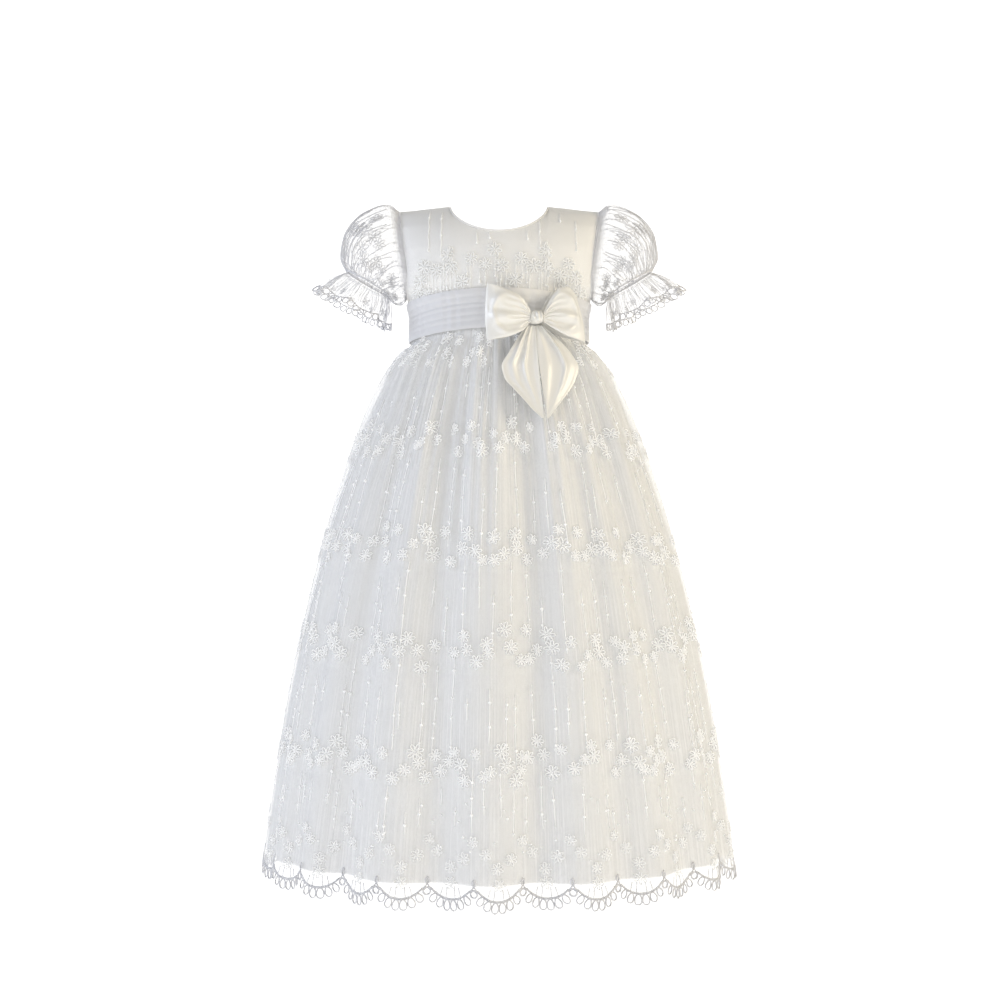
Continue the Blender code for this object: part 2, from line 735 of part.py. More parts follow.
def make_bow_loops(material):
    # Each loop is one strip of satin, out from the knot at the front and back to it behind
    for side, name, table in ((-1, "bow_loop_left", LOOP_LEFT), (1, "bow_loop_right", LOOP_RIGHT)):
        keys = [k / (len(table) - 1) for k in range(len(table))]

        def loop(path, share, table=table, side=side, keys=keys):
            reach = math.sin(math.pi * path) ** 0.9 if 0 < path < 1 else 0.0
            edges = [smooth(keys, [row[c] for row in table], reach) for c in range(4)]
            out = edges[2] + (edges[0] - edges[2]) * share
            out += 0.0018 * math.sin(math.pi * share) * reach ** 3
            up = edges[3] + (edges[1] - edges[3]) * share
            crease = 0.0013 * math.cos(math.tau * 2.5 * share) * math.sin(math.pi * reach)
            forward = math.cos(math.pi * path) * LOOP_PUFF * (1 + 0.5 * math.sin(math.pi * reach))
            return bow_space(side, out, forward + (crease if path < 0.5 else 0.0), up)

        sheet = Sheet()
        strips, lanes = 10, 6
        sheet.grid([k / lanes for k in range(lanes + 1)], [k / strips for k in range(strips + 1)])

        def outer(u, v):
            return loop(v, u)

        sheet.build(name, outer, lambda u, v: inside(outer, u, v, SATIN_WALL, -side), material)


def make_bow_tails(material):
    # The tails fall from the knot over the front of the skirt
    middle = TAILS[3]
    round_width, round_depth = 0.113, 0.0719

    def skirt_curve(x):
        return round_depth * math.sqrt(1 - (x / round_width) ** 2)

    for name, first, second in (("bow_tail_left", "left", "slit"), ("bow_tail_right", "slit", "right")):
        gap = SEAM_GAP

        def tail(u, drop):
            low = down(TAILS, first, -drop)
            high = down(TAILS, second, -drop)
            if first == "slit":
                low += gap
            else:
                high -= gap
            x = low + (high - low) * u
            crease = 0.0012 * math.cos(math.tau * 1.5 * u) * math.sin(math.pi * clamp(drop_share(drop)))
            forward = down(TAILS, "forward", -drop) + skirt_curve(x) - skirt_curve(middle.slit)
            return Vector((x, -forward - crease, -drop))

        sheet = Sheet()
        lanes = 4
        sheet.grid([k / lanes for k in range(lanes + 1)], [-row.z for row in TAILS])
        sheet.build(name, tail, lambda u, v: inside(tail, u, v, SATIN_WALL, -1), material)


def drop_share(drop):
    return (drop + TAILS[0].z) / (TAILS[0].z - TAILS[-1].z)


def make_knot(material):
    mesh = bmesh.new()
    bmesh.ops.create_uvsphere(mesh, u_segments=12, v_segments=6, radius=1.0)
    for vert in mesh.verts:
        squared = [math.copysign(abs(value) ** 0.8, value) for value in vert.co]
        out, forward, up = (value * size for value, size in zip(squared, KNOT_SIZE))
        vert.co = bow_space(1, out, forward, up)
    finish("bow_knot", mesh, material)


def main():
    for item in list(bpy.data.objects):
        bpy.data.objects.remove(item, do_unlink=True)
    tulle = make_material("tulle", (0.90, 0.90, 0.90), 0.75)
    lining = make_material("lining", (0.86, 0.86, 0.87), 0.60)
    organza = make_material("organza", (0.82, 0.82, 0.85), 0.40)
    satin = make_material("satin", (0.90, 0.88, 0.84), 0.28)
    pearl = make_material("pearl", (0.92, 0.91, 0.88), 0.25)
    make_bodice(tulle)
    make_buttons(pearl)
    make_sleeves(tulle)
    make_ruffles(tulle)
    make_skirt(tulle)
    make_lining(lining)
    make_sash(organza)
    make_bow_loops(satin)
    make_bow_tails(satin)
    make_knot(satin)


main()
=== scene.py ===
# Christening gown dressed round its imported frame: sheer embroidered tulle over a plain lining, puff
# sleeves with lace ruffles, a pleated sash and a satin bow.
# Metres, +Z up, the front faces -Y. Left and right are as seen from the front, so left is -X.

import math
import random

import bpy
import numpy as np
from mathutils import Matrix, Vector


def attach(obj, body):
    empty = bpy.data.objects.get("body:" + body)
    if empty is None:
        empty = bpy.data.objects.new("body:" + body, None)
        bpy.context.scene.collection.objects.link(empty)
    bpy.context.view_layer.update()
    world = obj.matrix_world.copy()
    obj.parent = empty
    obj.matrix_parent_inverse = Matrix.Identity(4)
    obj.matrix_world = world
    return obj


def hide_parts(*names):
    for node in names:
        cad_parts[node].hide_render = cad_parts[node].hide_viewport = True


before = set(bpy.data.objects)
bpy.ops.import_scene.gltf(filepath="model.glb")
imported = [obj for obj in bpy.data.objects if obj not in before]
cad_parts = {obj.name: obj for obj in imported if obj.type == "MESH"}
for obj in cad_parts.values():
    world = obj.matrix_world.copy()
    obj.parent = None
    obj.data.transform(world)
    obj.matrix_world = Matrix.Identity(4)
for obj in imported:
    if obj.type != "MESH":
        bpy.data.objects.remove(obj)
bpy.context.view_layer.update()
rng = random.Random(26)
tau = math.tau
print("frame loaded,", len(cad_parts), "nodes")


# Shader building

class Flow:
    # A socket that can be used in sums; each operator adds a Math node
    def __init__(self, look, socket):
        self.look, self.socket = look, socket

    def maths(self, operation, first, second=0.0):
        return self.look.node("Math", {"operation": operation}, {0: first, 1: second})

    def __add__(self, other):
        return self.maths("ADD", self, other)

    def __sub__(self, other):
        return self.maths("SUBTRACT", self, other)

    def __rsub__(self, other):
        return self.maths("SUBTRACT", other, self)

    def __mul__(self, other):
        return self.maths("MULTIPLY", self, other)

    def __truediv__(self, other):
        return self.maths("DIVIDE", self, other)

    def __pow__(self, other):
        return self.maths("POWER", self, other)

    __radd__, __rmul__ = __add__, __mul__

    def between(self, low, high):
        # 0 at low, 1 at high, eased and clamped
        return self.look.node("MapRange", {"interpolation_type": "SMOOTHSTEP"},
                              {"Value": self, "From Min": low, "From Max": high})

    def atMost(self, other):
        return self.maths("MINIMUM", self, other)

    def wave(self):
        return self.maths("SINE", self)


class Look:
    # One material: its shader, with constants set on the shader's own sockets
    def __init__(self, name, **constants):
        self.material = bpy.data.materials.new(name)
        self.material.use_nodes = True
        self.tree = self.material.node_tree
        self.shader = self.tree.nodes["Principled BSDF"]
        for key, value in constants.items():
            self.feed(self.shader.inputs[key.replace("_", " ")], value)

    def feed(self, socket, value):
        if isinstance(value, Flow):
            self.tree.links.new(value.socket, socket)
        elif socket.type == "RGBA":
            socket.default_value = (*value[:3], 1.0)
        else:
            socket.default_value = value

    def node(self, kind, settings=None, inputs=None, output=0):
        made = self.tree.nodes.new("ShaderNode" + kind)
        for key, value in (settings or {}).items():
            setattr(made, key, value)
        for key, value in (inputs or {}).items():
            self.feed(made.inputs[key], value)
        return Flow(self, made.outputs[output])

    def pattern(self):
        # Position on the flat cut, in metres, as two values
        place = self.node("UVMap", {"uv_map": "cut"})
        return (self.node("SeparateXYZ", None, {0: place}, 0),
                self.node("SeparateXYZ", None, {0: place}, 1))

    def place(self, x, y, z=0.0):
        return self.node("CombineXYZ", None, {0: x, 1: y, 2: z})

    def noise(self, where, detail=2.0, roughness=0.5):
        return self.node("TexNoise", {"noise_dimensions": "3D"},
                         {"Vector": where, "Scale": 1.0, "Detail": detail, "Roughness": roughness})

    def solidPlace(self, scale):
        here = self.node("TexCoord", None, None, 3)
        return self.node("VectorMath", {"operation": "SCALE"}, {0: here, 3: scale})

    def blend(self, share, first, second):
        return self.node("Mix", {"data_type": "RGBA"}, {0: share, 6: first, 7: second}, 2)

    def set(self, name, value):
        self.feed(self.shader.inputs[name], value)

    def relief(self, height, distance, strength=1.0):
        bump = self.node("Bump", None, {"Height": height, "Distance": distance, "Strength": strength})
        self.set("Normal", bump)


def weave(look, u, v, pitch):
    # Over-and-under threads of a plain weave, 0 to 1
    across = (u * (tau / pitch)).wave()
    along = (v * (tau / pitch)).wave()
    return across * along * 0.5 + 0.5


# Tables and curves

def smoothRun(keys, values, at):
    # Smooth curve through table rows that never overshoots them; at is a row of keys
    keys, values = np.asarray(keys, float), np.asarray(values, float)
    at = np.clip(np.atleast_1d(at), keys[0], keys[-1])
    wide = (-1,) + (1,) * (values.ndim - 1)
    runs = np.diff(values, axis=0) / np.diff(keys).reshape(wide)
    before, after = runs[:-1], runs[1:]
    same = before * after > 0
    inner = np.where(same, 2 * before * after / np.where(same, before + after, 1.0), 0.0)
    slopes = np.concatenate([runs[:1], inner, runs[-1:]])
    k = np.clip(np.searchsorted(keys, at) - 1, 0, len(runs) - 1)
    width = (keys[k + 1] - keys[k]).reshape(wide)
    t = (at - keys[k]).reshape(wide) / width
    ends = values[k] * (1 + 2 * t) * (1 - t) ** 2 + values[k + 1] * t * t * (3 - 2 * t)
    return ends + width * t * (1 - t) * (slopes[k] * (1 - t) - slopes[k + 1] * t)


def column(rows, index, z, curve=smoothRun):
    # One column of a table whose rows run down the body, at heights z
    keys = [-row[0] for row in rows]
    values = [row[index] for row in rows]
    return np.interp(-z, keys, values) if curve is np.interp else curve(keys, values, -z)


def ripple(u, whole, waves):
    # Uneven but repeatable wave round a ring: (count, height, phase) for each part
    return sum(height * np.cos(tau * count * u / whole + phase) for count, height, phase in waves)


# Cloth surfaces and what is laid on them

class Cloth:
    # A surface known on an even grid of its flat cut; points run down, then along
    def __init__(self, us, vs, points, outward, round=False):
        self.us, self.vs, self.points, self.round = us, vs, points, round
        if round:
            wide = np.concatenate([points[:, -2:-1], points, points[:, 1:2]], axis=1)
            step = us[1] - us[0]
            alongU = (wide[:, 2:] - wide[:, :-2]) / (2 * step)
        else:
            alongU = np.gradient(points, us, axis=1)
        alongV = np.gradient(points, vs, axis=0)
        normal = np.cross(alongU, alongV)
        length = np.maximum(np.linalg.norm(normal, axis=2, keepdims=True), 1e-12)
        self.normals = normal / length * outward
        self.stretchU = np.linalg.norm(alongU, axis=2).mean(axis=1)
        self.stretchV = np.linalg.norm(alongV, axis=2).mean(axis=1)

    def sample(self, grid, u, v):
        if self.round:
            u = self.us[0] + np.mod(u - self.us[0], self.us[-1] - self.us[0])
        a = np.clip((u - self.us[0]) / (self.us[1] - self.us[0]), 0, len(self.us) - 1.001)
        b = np.clip((v - self.vs[0]) / (self.vs[1] - self.vs[0]), 0, len(self.vs) - 1.001)
        i, j = a.astype(int), b.astype(int)
        a, b = (a - i)[..., None], (b - j)[..., None]
        upper = grid[j, i] * (1 - a) + grid[j, i + 1] * a
        lower = grid[j + 1, i] * (1 - a) + grid[j + 1, i + 1] * a
        return upper * (1 - b) + lower * b

    def put(self, u, v, lift=0.0):
        u, v = np.broadcast_arrays(np.asarray(u, float), np.asarray(v, float))
        normal = self.sample(self.normals, u, v)
        lift = np.asarray(lift, float)
        return self.sample(self.points, u, v) + normal * (lift[..., None] if lift.ndim else lift)

    def pace(self, v):
        # Metres of cloth for one step of u and of v, at v
        return np.interp(v, self.vs, self.stretchU), np.interp(v, self.vs, self.stretchV)


def meshPiece(name, look, points, faces, cut=None, sharp=None):
    # One object from points and faces; cut is the position of each point on the flat cut
    data = bpy.data.meshes.new(name)
    data.from_pydata(np.asarray(points).reshape(-1, 3).tolist(), [], faces)
    if cut is not None:
        layer = data.uv_layers.new(name="cut")
        corners = np.empty(len(data.loops), dtype=np.int32)
        data.loops.foreach_get("vertex_index", corners)
        layer.data.foreach_set("uv", np.asarray(cut, np.float32)[corners].ravel())
    data.shade_smooth()
    if sharp:
        data.set_sharp_from_angle(angle=math.radians(sharp))
    data.materials.append(look.material)
    made = bpy.data.objects.new(name, data)
    bpy.context.scene.collection.objects.link(made)
    return made


def wear(piece, slot, *nodes):
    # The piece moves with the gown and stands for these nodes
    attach(piece, "root")
    if nodes:
        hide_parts(*nodes)
    return piece


def panel(name, look, points, cut, wall=0.0, side=1, closed=False):
    # A sheet from rows of points; with a wall it has a second layer and a rim on every open edge
    rows, columns = points.shape[:2]
    ids = np.arange(rows * columns).reshape(rows, columns)
    left, right = ids[:, :-1], ids[:, 1:]
    if closed:
        left, right = ids, np.roll(ids, -1, axis=1)
    quads = np.stack([left[:-1], left[1:], right[1:], right[:-1]], axis=-1).reshape(-1, 4)
    flat = points.reshape(-1, 3)
    cut = np.asarray(cut).reshape(-1, 2)
    if not wall:
        return meshPiece(name, look, flat, quads.tolist(), cut)
    along = np.roll(points, -1, 1) - np.roll(points, 1, 1) if closed else np.gradient(points, axis=1)
    normal = np.cross(along, np.gradient(points, axis=0))
    normal /= np.maximum(np.linalg.norm(normal, axis=2, keepdims=True), 1e-12)
    behind = (points - normal * wall * side).reshape(-1, 3)
    count = rows * columns
    edges = [list(ids[0]), list(ids[-1][::-1])]
    if closed:
        edges = [edge + edge[:1] for edge in edges]
    else:
        edges += [list(ids[:, 0][::-1]), list(ids[:, -1])]
    rim = []
    for edge in edges:
        rim += [(b, a, a + count, b + count) for a, b in zip(edge, edge[1:])]
    faces = quads.tolist() + (quads[:, ::-1] + count).tolist() + [[int(i) for i in f] for f in rim]
    if side < 0:
        faces = [face[::-1] for face in faces]
    return meshPiece(name, look, np.concatenate([flat, behind]), faces,
                     np.concatenate([cut, cut]), sharp=50)


def tubes(points, normals, radius, closed, sides):
    # Round threads along stacks of paths; gives corner points and faces
    stacks, count = points.shape[:2]
    if closed:
        along = np.roll(points, -1, 1) - np.roll(points, 1, 1)
    else:
        along = np.gradient(points, axis=1)
    along /= np.maximum(np.linalg.norm(along, axis=2, keepdims=True), 1e-12)
    aside = np.cross(along, normals)
    aside /= np.maximum(np.linalg.norm(aside, axis=2, keepdims=True), 1e-12)
    above = np.cross(aside, along)
    turn = tau * (np.arange(sides) + 0.5) / sides
    ring = aside[:, :, None] * np.cos(turn)[:, None] + above[:, :, None] * np.sin(turn)[:, None]
    corners = points[:, :, None] + ring * np.asarray(radius)[:, None, None, None]
    ids = np.arange(stacks * count * sides).reshape(stacks, count, sides)
    first, second = (ids, np.roll(ids, -1, 1)) if closed else (ids[:, :-1], ids[:, 1:])
    quads = np.stack([first, np.roll(first, -1, 2), np.roll(second, -1, 2), second], axis=-1)
    faces = quads.reshape(-1, 4).tolist()
    if not closed:
        faces += ids[:, 0][:, ::-1].tolist() + ids[:, -1].tolist()
    return corners.reshape(-1, 3), faces


ball = (1 + 5 ** 0.5) / 2
knotCorners = np.array([(-1, ball, 0), (1, ball, 0), (-1, -ball, 0), (1, -ball, 0), (0, -1, ball),
                        (0, 1, ball), (0, -1, -ball), (0, 1, -ball), (ball, 0, -1), (ball, 0, 1),
                        (-ball, 0, -1), (-ball, 0, 1)]) / math.hypot(1, ball)
knotFaces = [(0, 11, 5), (0, 5, 1), (0, 1, 7), (0, 7, 10), (0, 10, 11), (1, 5, 9), (5, 11, 4),
             (11, 10, 2), (10, 7, 6), (7, 1, 8), (3, 9, 4), (3, 4, 2), (3, 2, 6), (3, 6, 8),
             (3, 8, 9), (4, 9, 5), (2, 4, 11), (6, 2, 10), (8, 6, 7), (9, 8, 1)]


class Needlework:
    # Thread drawn on the flat cut and then laid on the cloth, all of it as one piece
    # locate turns places in the front view into places on the cut, for a cloth that is drawn that way
    def __init__(self, cloth, lift, locate=None):
        self.cloth, self.lift, self.strands, self.knots = cloth, lift, {}, []
        self.locate = locate

    def strand(self, u, v, radius, lift=0.0, closed=False):
        u, v = np.broadcast_arrays(np.asarray(u, float), np.asarray(v, float))
        path = np.stack([u, v, np.full(u.shape, self.lift) + lift], axis=-1)
        self.strands.setdefault((len(path), closed), []).append((path, radius))

    def knot(self, u, v, radius):
        u, v = self.locate(u, v) if self.locate else (u, v)
        self.knots.append((u, v, radius))

    def shape(self, u, v, across, down, radius, lift=0.0, closed=False):
        # A strand given in metres of cloth from the point (u, v)
        across, down = np.broadcast_arrays(np.asarray(across, float), np.asarray(down, float))
        if self.locate:
            u, v = np.array([self.locate(u + x, v - z) for x, z in zip(across, down)]).T
            self.strand(u, v, radius, lift, closed)
        else:
            paceU, paceV = self.cloth.pace(v)
            self.strand(u + across / paceU, v + down / paceV, radius, lift, closed)

    def flower(self, u, v, size, petals, turn, thread):
        # Petals are eyelet loops round a knot
        sweep = tau * np.arange(8) / 8
        for k in range(petals):
            angle = turn + tau * k / petals
            out = size * (0.58 - 0.40 * np.cos(sweep))
            wide = size * 0.19 * np.sin(sweep) * (0.75 + 0.5 * (1 - np.cos(sweep)) / 2)
            self.shape(u, v, out * math.cos(angle) - wide * math.sin(angle),
                       out * math.sin(angle) + wide * math.cos(angle), thread,
                       0.0002 * (1 - np.cos(sweep)), closed=True)
        self.knot(u, v, thread * 1.7)

    def build(self, name, look, slot, sides=3):
        points, faces, total = [], [], 0
        for (count, closed), group in self.strands.items():
            paths = np.stack([path for path, _ in group])
            places = self.cloth.put(paths[..., 0], paths[..., 1], paths[..., 2])
            normals = self.cloth.sample(self.cloth.normals, paths[..., 0], paths[..., 1])
            made, joined = tubes(places, normals, [radius for _, radius in group], closed, sides)
            faces += [[i + total for i in face] for face in joined]
            points.append(made)
            total += len(made)
        if self.knots:
            u, v, radius = np.array(self.knots).T
            middles = self.cloth.put(u, v, self.lift + radius * 0.3)
            made = middles[:, None] + knotCorners[None] * radius[:, None, None]
            for k in range(len(middles)):
                faces += [[i + total + k * 12 for i in face] for face in knotFaces]
            points.append(made.reshape(-1, 3))
        return wear(meshPiece(name, look, np.concatenate(points), faces), slot)


# Finishes

def makeNet(name, ground, ribs, color=(0.96, 0.96, 0.955), dense=None, paintedGlow=0.05):
    # Sheer tulle: a fine net with lengthwise ribs; dense is a band of the cut that reads closer. The emission
    # strength is a painted glow that makes the net read brighter than it is lit
    look = Look(name, Roughness=0.62, Sheen_Weight=0.05, Emission_Color=(1.0, 1.0, 1.0),
                Emission_Strength=paintedGlow)
    u, v = look.pattern()
    cells = look.node("TexVoronoi", {"feature": "DISTANCE_TO_EDGE", "voronoi_dimensions": "2D"},
                      {"Vector": look.place(u * 900, v * 900), "Scale": 1.0})
    net = 1 - cells.between(0.05, 0.20)
    streaks = look.noise(look.place(u * 430, v * 2.5, 3.0), 0.0)
    comb = (u * (tau / 0.0024)).wave().between(0.55, 0.98)
    rib = streaks.between(0.50, 0.68) * 0.7 + comb * 0.28
    band = look.node("Attribute", {"attribute_name": "band"}, None, 2)
    drift = look.noise(look.place(u * 9, v * 14), 2.0).between(0.25, 0.75) * 0.5 + band * 0.5
    alpha = ground + net * (ground * 0.7) + rib * drift * ribs + band * (ground * 0.6)
    if dense:
        low, high, extra = dense
        alpha = alpha + (1 - v.between(low, high)) * extra
    look.set("Alpha", alpha.atMost(0.96))
    look.set("Base Color", look.blend(rib * 0.6, tuple(c * 0.94 for c in color), color))
    look.relief(rib * 0.4 + net * 0.4, 0.0002, 0.4)
    return look


def makeThread(name, color, roughness, paintedGlow):
    # Rayon embroidery thread with its twist. The emission strength is a painted glow that makes the thread read
    # brighter than the cloth around it
    look = Look(name, Roughness=roughness, Sheen_Weight=0.3, Specular_IOR_Level=0.6,
                Emission_Color=(1.0, 1.0, 1.0), Emission_Strength=paintedGlow)
    place = look.solidPlace(1.0)
    x = look.node("SeparateXYZ", None, {0: place}, 0)
    z = look.node("SeparateXYZ", None, {0: place}, 2)
    twist = ((x + z) * (tau / 0.0007)).wave() * 0.5 + 0.5
    tone = look.noise(look.solidPlace(60.0), 2.0)
    look.set("Base Color", look.blend(tone, tuple(c * 0.95 for c in color), color))
    look.relief(twist, 0.0001, 0.5)
    return look


def makeWoven(name, color, roughness, pitch, slub, paintedLit=None, **constants):
    # Close-woven cloth with slight unevenness from thread to thread, and optionally a stretch of the cut painted
    # lighter in a given colour, a painted light
    look = Look(name, Roughness=roughness, **constants)
    u, v = look.pattern()
    threads = weave(look, u, v, pitch)
    uneven = look.noise(look.place(u * 40, v * 900, 2.0), 2.0) * 0.5 + \
        look.noise(look.place(u * 900, v * 40, 5.0), 2.0) * 0.5
    cloud = look.noise(look.place(u * 18, v * 18), 3.0).between(0.3, 0.7)
    dull = tuple(c * (1 - slub) for c in color)
    shade = look.blend(uneven * 0.6 + cloud * 0.4, dull, color)
    # painted light: the stretch between start and end is blended towards the lighter colour
    if paintedLit:
        start, end, light = paintedLit
        share = u.between(start, start + 0.016) * (1 - u.between(end - 0.016, end))
        shade = look.blend(share, shade, light)
    look.set("Base Color", shade)
    look.set("Roughness", cloud * 0.08 + (roughness - 0.04))
    look.relief(threads * 0.6 + uneven, pitch * 0.25, 0.35)
    return look


# the tulle and bodice nets keep the default painted glow; the sleeve and ruffle nets have none
netLook = makeNet("tulleNet", 0.27, 0.13)
bodiceNetLook = makeNet("bodiceNet", 0.12, 0.05)
sleeveNetLook = makeNet("sleeveNet", 0.17, 0.24, (0.85, 0.85, 0.87), (0.004, 0.016, 0.40), 0.0)
ruffleNetLook = makeNet("ruffleNet", 0.12, 0.18, (0.85, 0.85, 0.87), (0.001, 0.004, 0.30), 0.0)
# the last number given to each thread is its painted glow, emission that makes it read brighter
threadLook = makeThread("embroideryThread", (0.98, 0.98, 0.97), 0.45, 0.19)
bodiceThreadLook = makeThread("bodiceThread", (0.98, 0.98, 0.965), 0.5, 0.13)
cordLook = makeThread("laceCord", (0.77, 0.77, 0.79), 0.7, 0.0)
sleeveThreadLook = makeThread("sleeveThread", (0.79, 0.79, 0.81), 0.65, 0.0)
liningLook = makeWoven("liningCloth", (0.845, 0.845, 0.84), 0.5, 0.0004, 0.02)
backingLook = makeWoven("bodiceBacking", (0.92, 0.91, 0.885), 0.55, 0.0005, 0.03, Sheen_Weight=0.15)
# the sash from its front centre towards the right, behind the bow, is painted lighter and warmer: painted light
# where the bow's shadow falls
organzaLook = makeWoven("sashOrganza", (0.75, 0.75, 0.765), 0.42, 0.0005, 0.05,
                        paintedLit=(0.000, 0.058, (0.95, 0.935, 0.905)), Sheen_Weight=0.25)
satinLook = makeWoven("bowSatin", (0.89, 0.875, 0.83), 0.24, 0.00022, 0.012, Specular_IOR_Level=0.7)
pearlLook = Look("buttonPearl", Base_Color=(0.94, 0.93, 0.90), Roughness=0.22, Coat_Weight=0.4)
pearlCloud = pearlLook.noise(pearlLook.solidPlace(320.0), 2.0)
pearlLook.set("Base Color", pearlLook.blend(pearlCloud, (0.90, 0.90, 0.89), (0.97, 0.95, 0.92)))
print("finishes made")


# Skirt

waist = {"seam": -0.105, "lift": 0.008, "liftTop": -0.035, "liftEnd": -0.190, "sashTop": -0.093,
         "sashBottom": -0.129, "seamGap": 0.0003}
# the body from the underarm to the bottom of the sash: height, half width, half depth
body = [(-0.0875, 0.0872, 0.0595), (-0.1050, 0.0832, 0.0564), (-0.1310, 0.0836, 0.0567)]
skirt = {
    "hem": -0.609, "hemLength": 1.190, "scallops": 26, "depthGrowth": 0.52, "gathers": 52,
    # height, half width, gather height, share of the big folds
    "rows": [(-0.1053, 0.0832, 0.0000, 0.00), (-0.1310, 0.0836, 0.0000, 0.00),
             (-0.1370, 0.0895, 0.0020, 0.10), (-0.1580, 0.1055, 0.0030, 0.40),
             (-0.2100, 0.1315, 0.0019, 0.85), (-0.3200, 0.1680, 0.0006, 1.00),
             (-0.4600, 0.2000, 0.0000, 1.00), (-0.6090, 0.2230, 0.0000, 1.00),
             (-0.6340, 0.2260, 0.0000, 1.00)],
    # valleys: angle at the waist and at the hem, depth, half width in degrees
    "folds": [(-82, -77, 0.0045, 7), (-63, -60, 0.0050, 7), (-46, -41, 0.0075, 8),
              (-24, -14, 0.0060, 7), (11, 9, 0.0070, 7), (29, 31, 0.0045, 6), (43, 52, 0.0065, 8),
              (68, 72, 0.0050, 7), (92, 96, 0.0055, 8), (112, 117, 0.0050, 7),
              (134, 139, 0.0070, 8), (157, 160, 0.0050, 7), (183, 182, 0.0065, 8),
              (205, 203, 0.0050, 7), (226, 221, 0.0070, 8), (251, 247, 0.0055, 7)],
    # sharper creases: angle at the waist and where it ends, depth, width in degrees, end height
    "creases": [(-60, -52, 0.0022, 2.2, -0.26), (-38, -33, 0.0030, 2.4, -0.34),
                (-29, -26, 0.0022, 1.8, -0.24), (-16, -11, 0.0034, 2.2, -0.38),
                (-7, -3, 0.0026, 2.0, -0.27), (4, 5, 0.0022, 2.0, -0.30), (52, 50, 0.0026, 2.4, -0.30),
                (62, 60, 0.0026, 2.2, -0.27), (78, 76, 0.0028, 2.5, -0.33), (-72, -68, 0.0026, 2.4, -0.32),
                (120, 122, 0.0030, 2.5, -0.33), (150, 149, 0.0026, 2.3, -0.29),
                (172, 170, 0.0030, 2.2, -0.36), (196, 197, 0.0028, 2.2, -0.30),
                (214, 216, 0.0028, 2.4, -0.34), (240, 238, 0.0026, 2.4, -0.28)],
    "crinkle": [(131, 0.35, 0.4), (173, 0.30, 2.1), (89, 0.35, 4.0)],
}
lace = {"loops": 8, "depth": 0.0130, "tip": 0.0090, "arcCord": 0.00060, "loopCord": 0.00085,
        "stemCord": 0.00038}
# the lining: height, how far inside the tulle, share of the big folds
lining = {"rows": [(-0.1070, 0.0020, 0.00), (-0.1310, 0.0022, 0.00), (-0.1400, 0.0046, 0.20),
                   (-0.1650, 0.0056, 0.75), (-0.2600, 0.0040, 0.95), (-0.4200, 0.0032, 0.95),
                   (-0.6085, 0.0030, 0.95)]}


embroidery = {
    "thread": 0.00050, "flower": 0.0067, "petals": 7, "lift": 0.0004,
    # centre drop of each flower row and how many repeats go round the gown at it
    "rows": [(0.1490, 14), (0.2250, 17), (0.3190, 20), (0.4080, 23), (0.5040, 26)],
    # one repeat: across and down from its middle, in metres, and the size of the flower
    "repeat": [(0.0000, -0.0120, 1.00), (-0.0085, 0.0005, 0.95), (0.0062, 0.0000, 1.05),
               (0.0150, 0.0110, 1.00), (0.0235, -0.0095, 0.90), (-0.0165, 0.0095, 0.90)],
    "stemGap": (0.0120, 0.0260),
    # flowers of the border above the lace: share of a scallop, drop, size
    "border": [(0.00, 0.5945, 0.85), (0.28, 0.5850, 0.85), (0.72, 0.5800, 0.80), (0.50, 0.5705, 0.75)],
}


def depthFor(halfWidth):
    return body[1][2] + (halfWidth - body[1][1]) * skirt["depthGrowth"]


def hemMarks(steps=1440):
    halfWidth = skirt["rows"][-2][1]
    middle = tau * (np.arange(steps) + 0.5) / steps
    run = np.hypot(halfWidth * np.cos(middle), depthFor(halfWidth) * np.sin(middle))
    marks = np.concatenate([[0.0], np.cumsum(run)])
    return marks / marks[-1]


marks = hemMarks()


def turnAngle(turn):
    # Angle from the front centre for a share of the way round the hem
    whole = np.floor(turn)
    return tau * (whole + np.interp(turn - whole, marks, np.linspace(0, 1, len(marks))))


def awayFrom(angle, degrees):
    return (np.degrees(angle) - degrees + 180) % 360 - 180


def foldDepth(angle, z):
    # angle along, z down; gives the depth of the big folds at each point
    fall = np.clip((waist["sashBottom"] - z) / (waist["sashBottom"] - skirt["hem"]), 0, 1) ** 0.7
    total = np.zeros((len(z), len(angle)))
    for top, low, depth, width in skirt["folds"]:
        valley = top + (low - top) * fall[:, None]
        total += depth * np.exp(-(awayFrom(angle[None], valley) / width) ** 2)
    return total


def creaseDepth(angle, z):
    total = np.zeros((len(z), len(angle)))
    for top, low, depth, width, end in skirt["creases"]:
        run = np.clip((waist["sashBottom"] - z) / (waist["sashBottom"] - end), 0, 1)
        valley = top + (low - top) * run[:, None]
        fade = (np.sin(np.pi * np.clip(run, 0, 1) ** 0.5) ** 0.7)[:, None]
        total += depth * fade * np.exp(-(awayFrom(angle[None], valley) / width) ** 2)
    return total


def waistLift(angle):
    return waist["lift"] * np.maximum(0.0, np.cos(angle)) ** 2


def onRing(angle, halfWidth, halfDepth, z):
    # Rings down the skirt: halfWidth and halfDepth are down x along
    fade = np.clip((z - waist["liftEnd"]) / (waist["sashBottom"] - waist["liftEnd"]), 0, 1)[:, None]
    lift = waistLift(angle)[None] * fade
    return np.stack([halfWidth * np.sin(angle), -halfDepth * np.cos(angle), z[:, None] + lift], axis=-1)


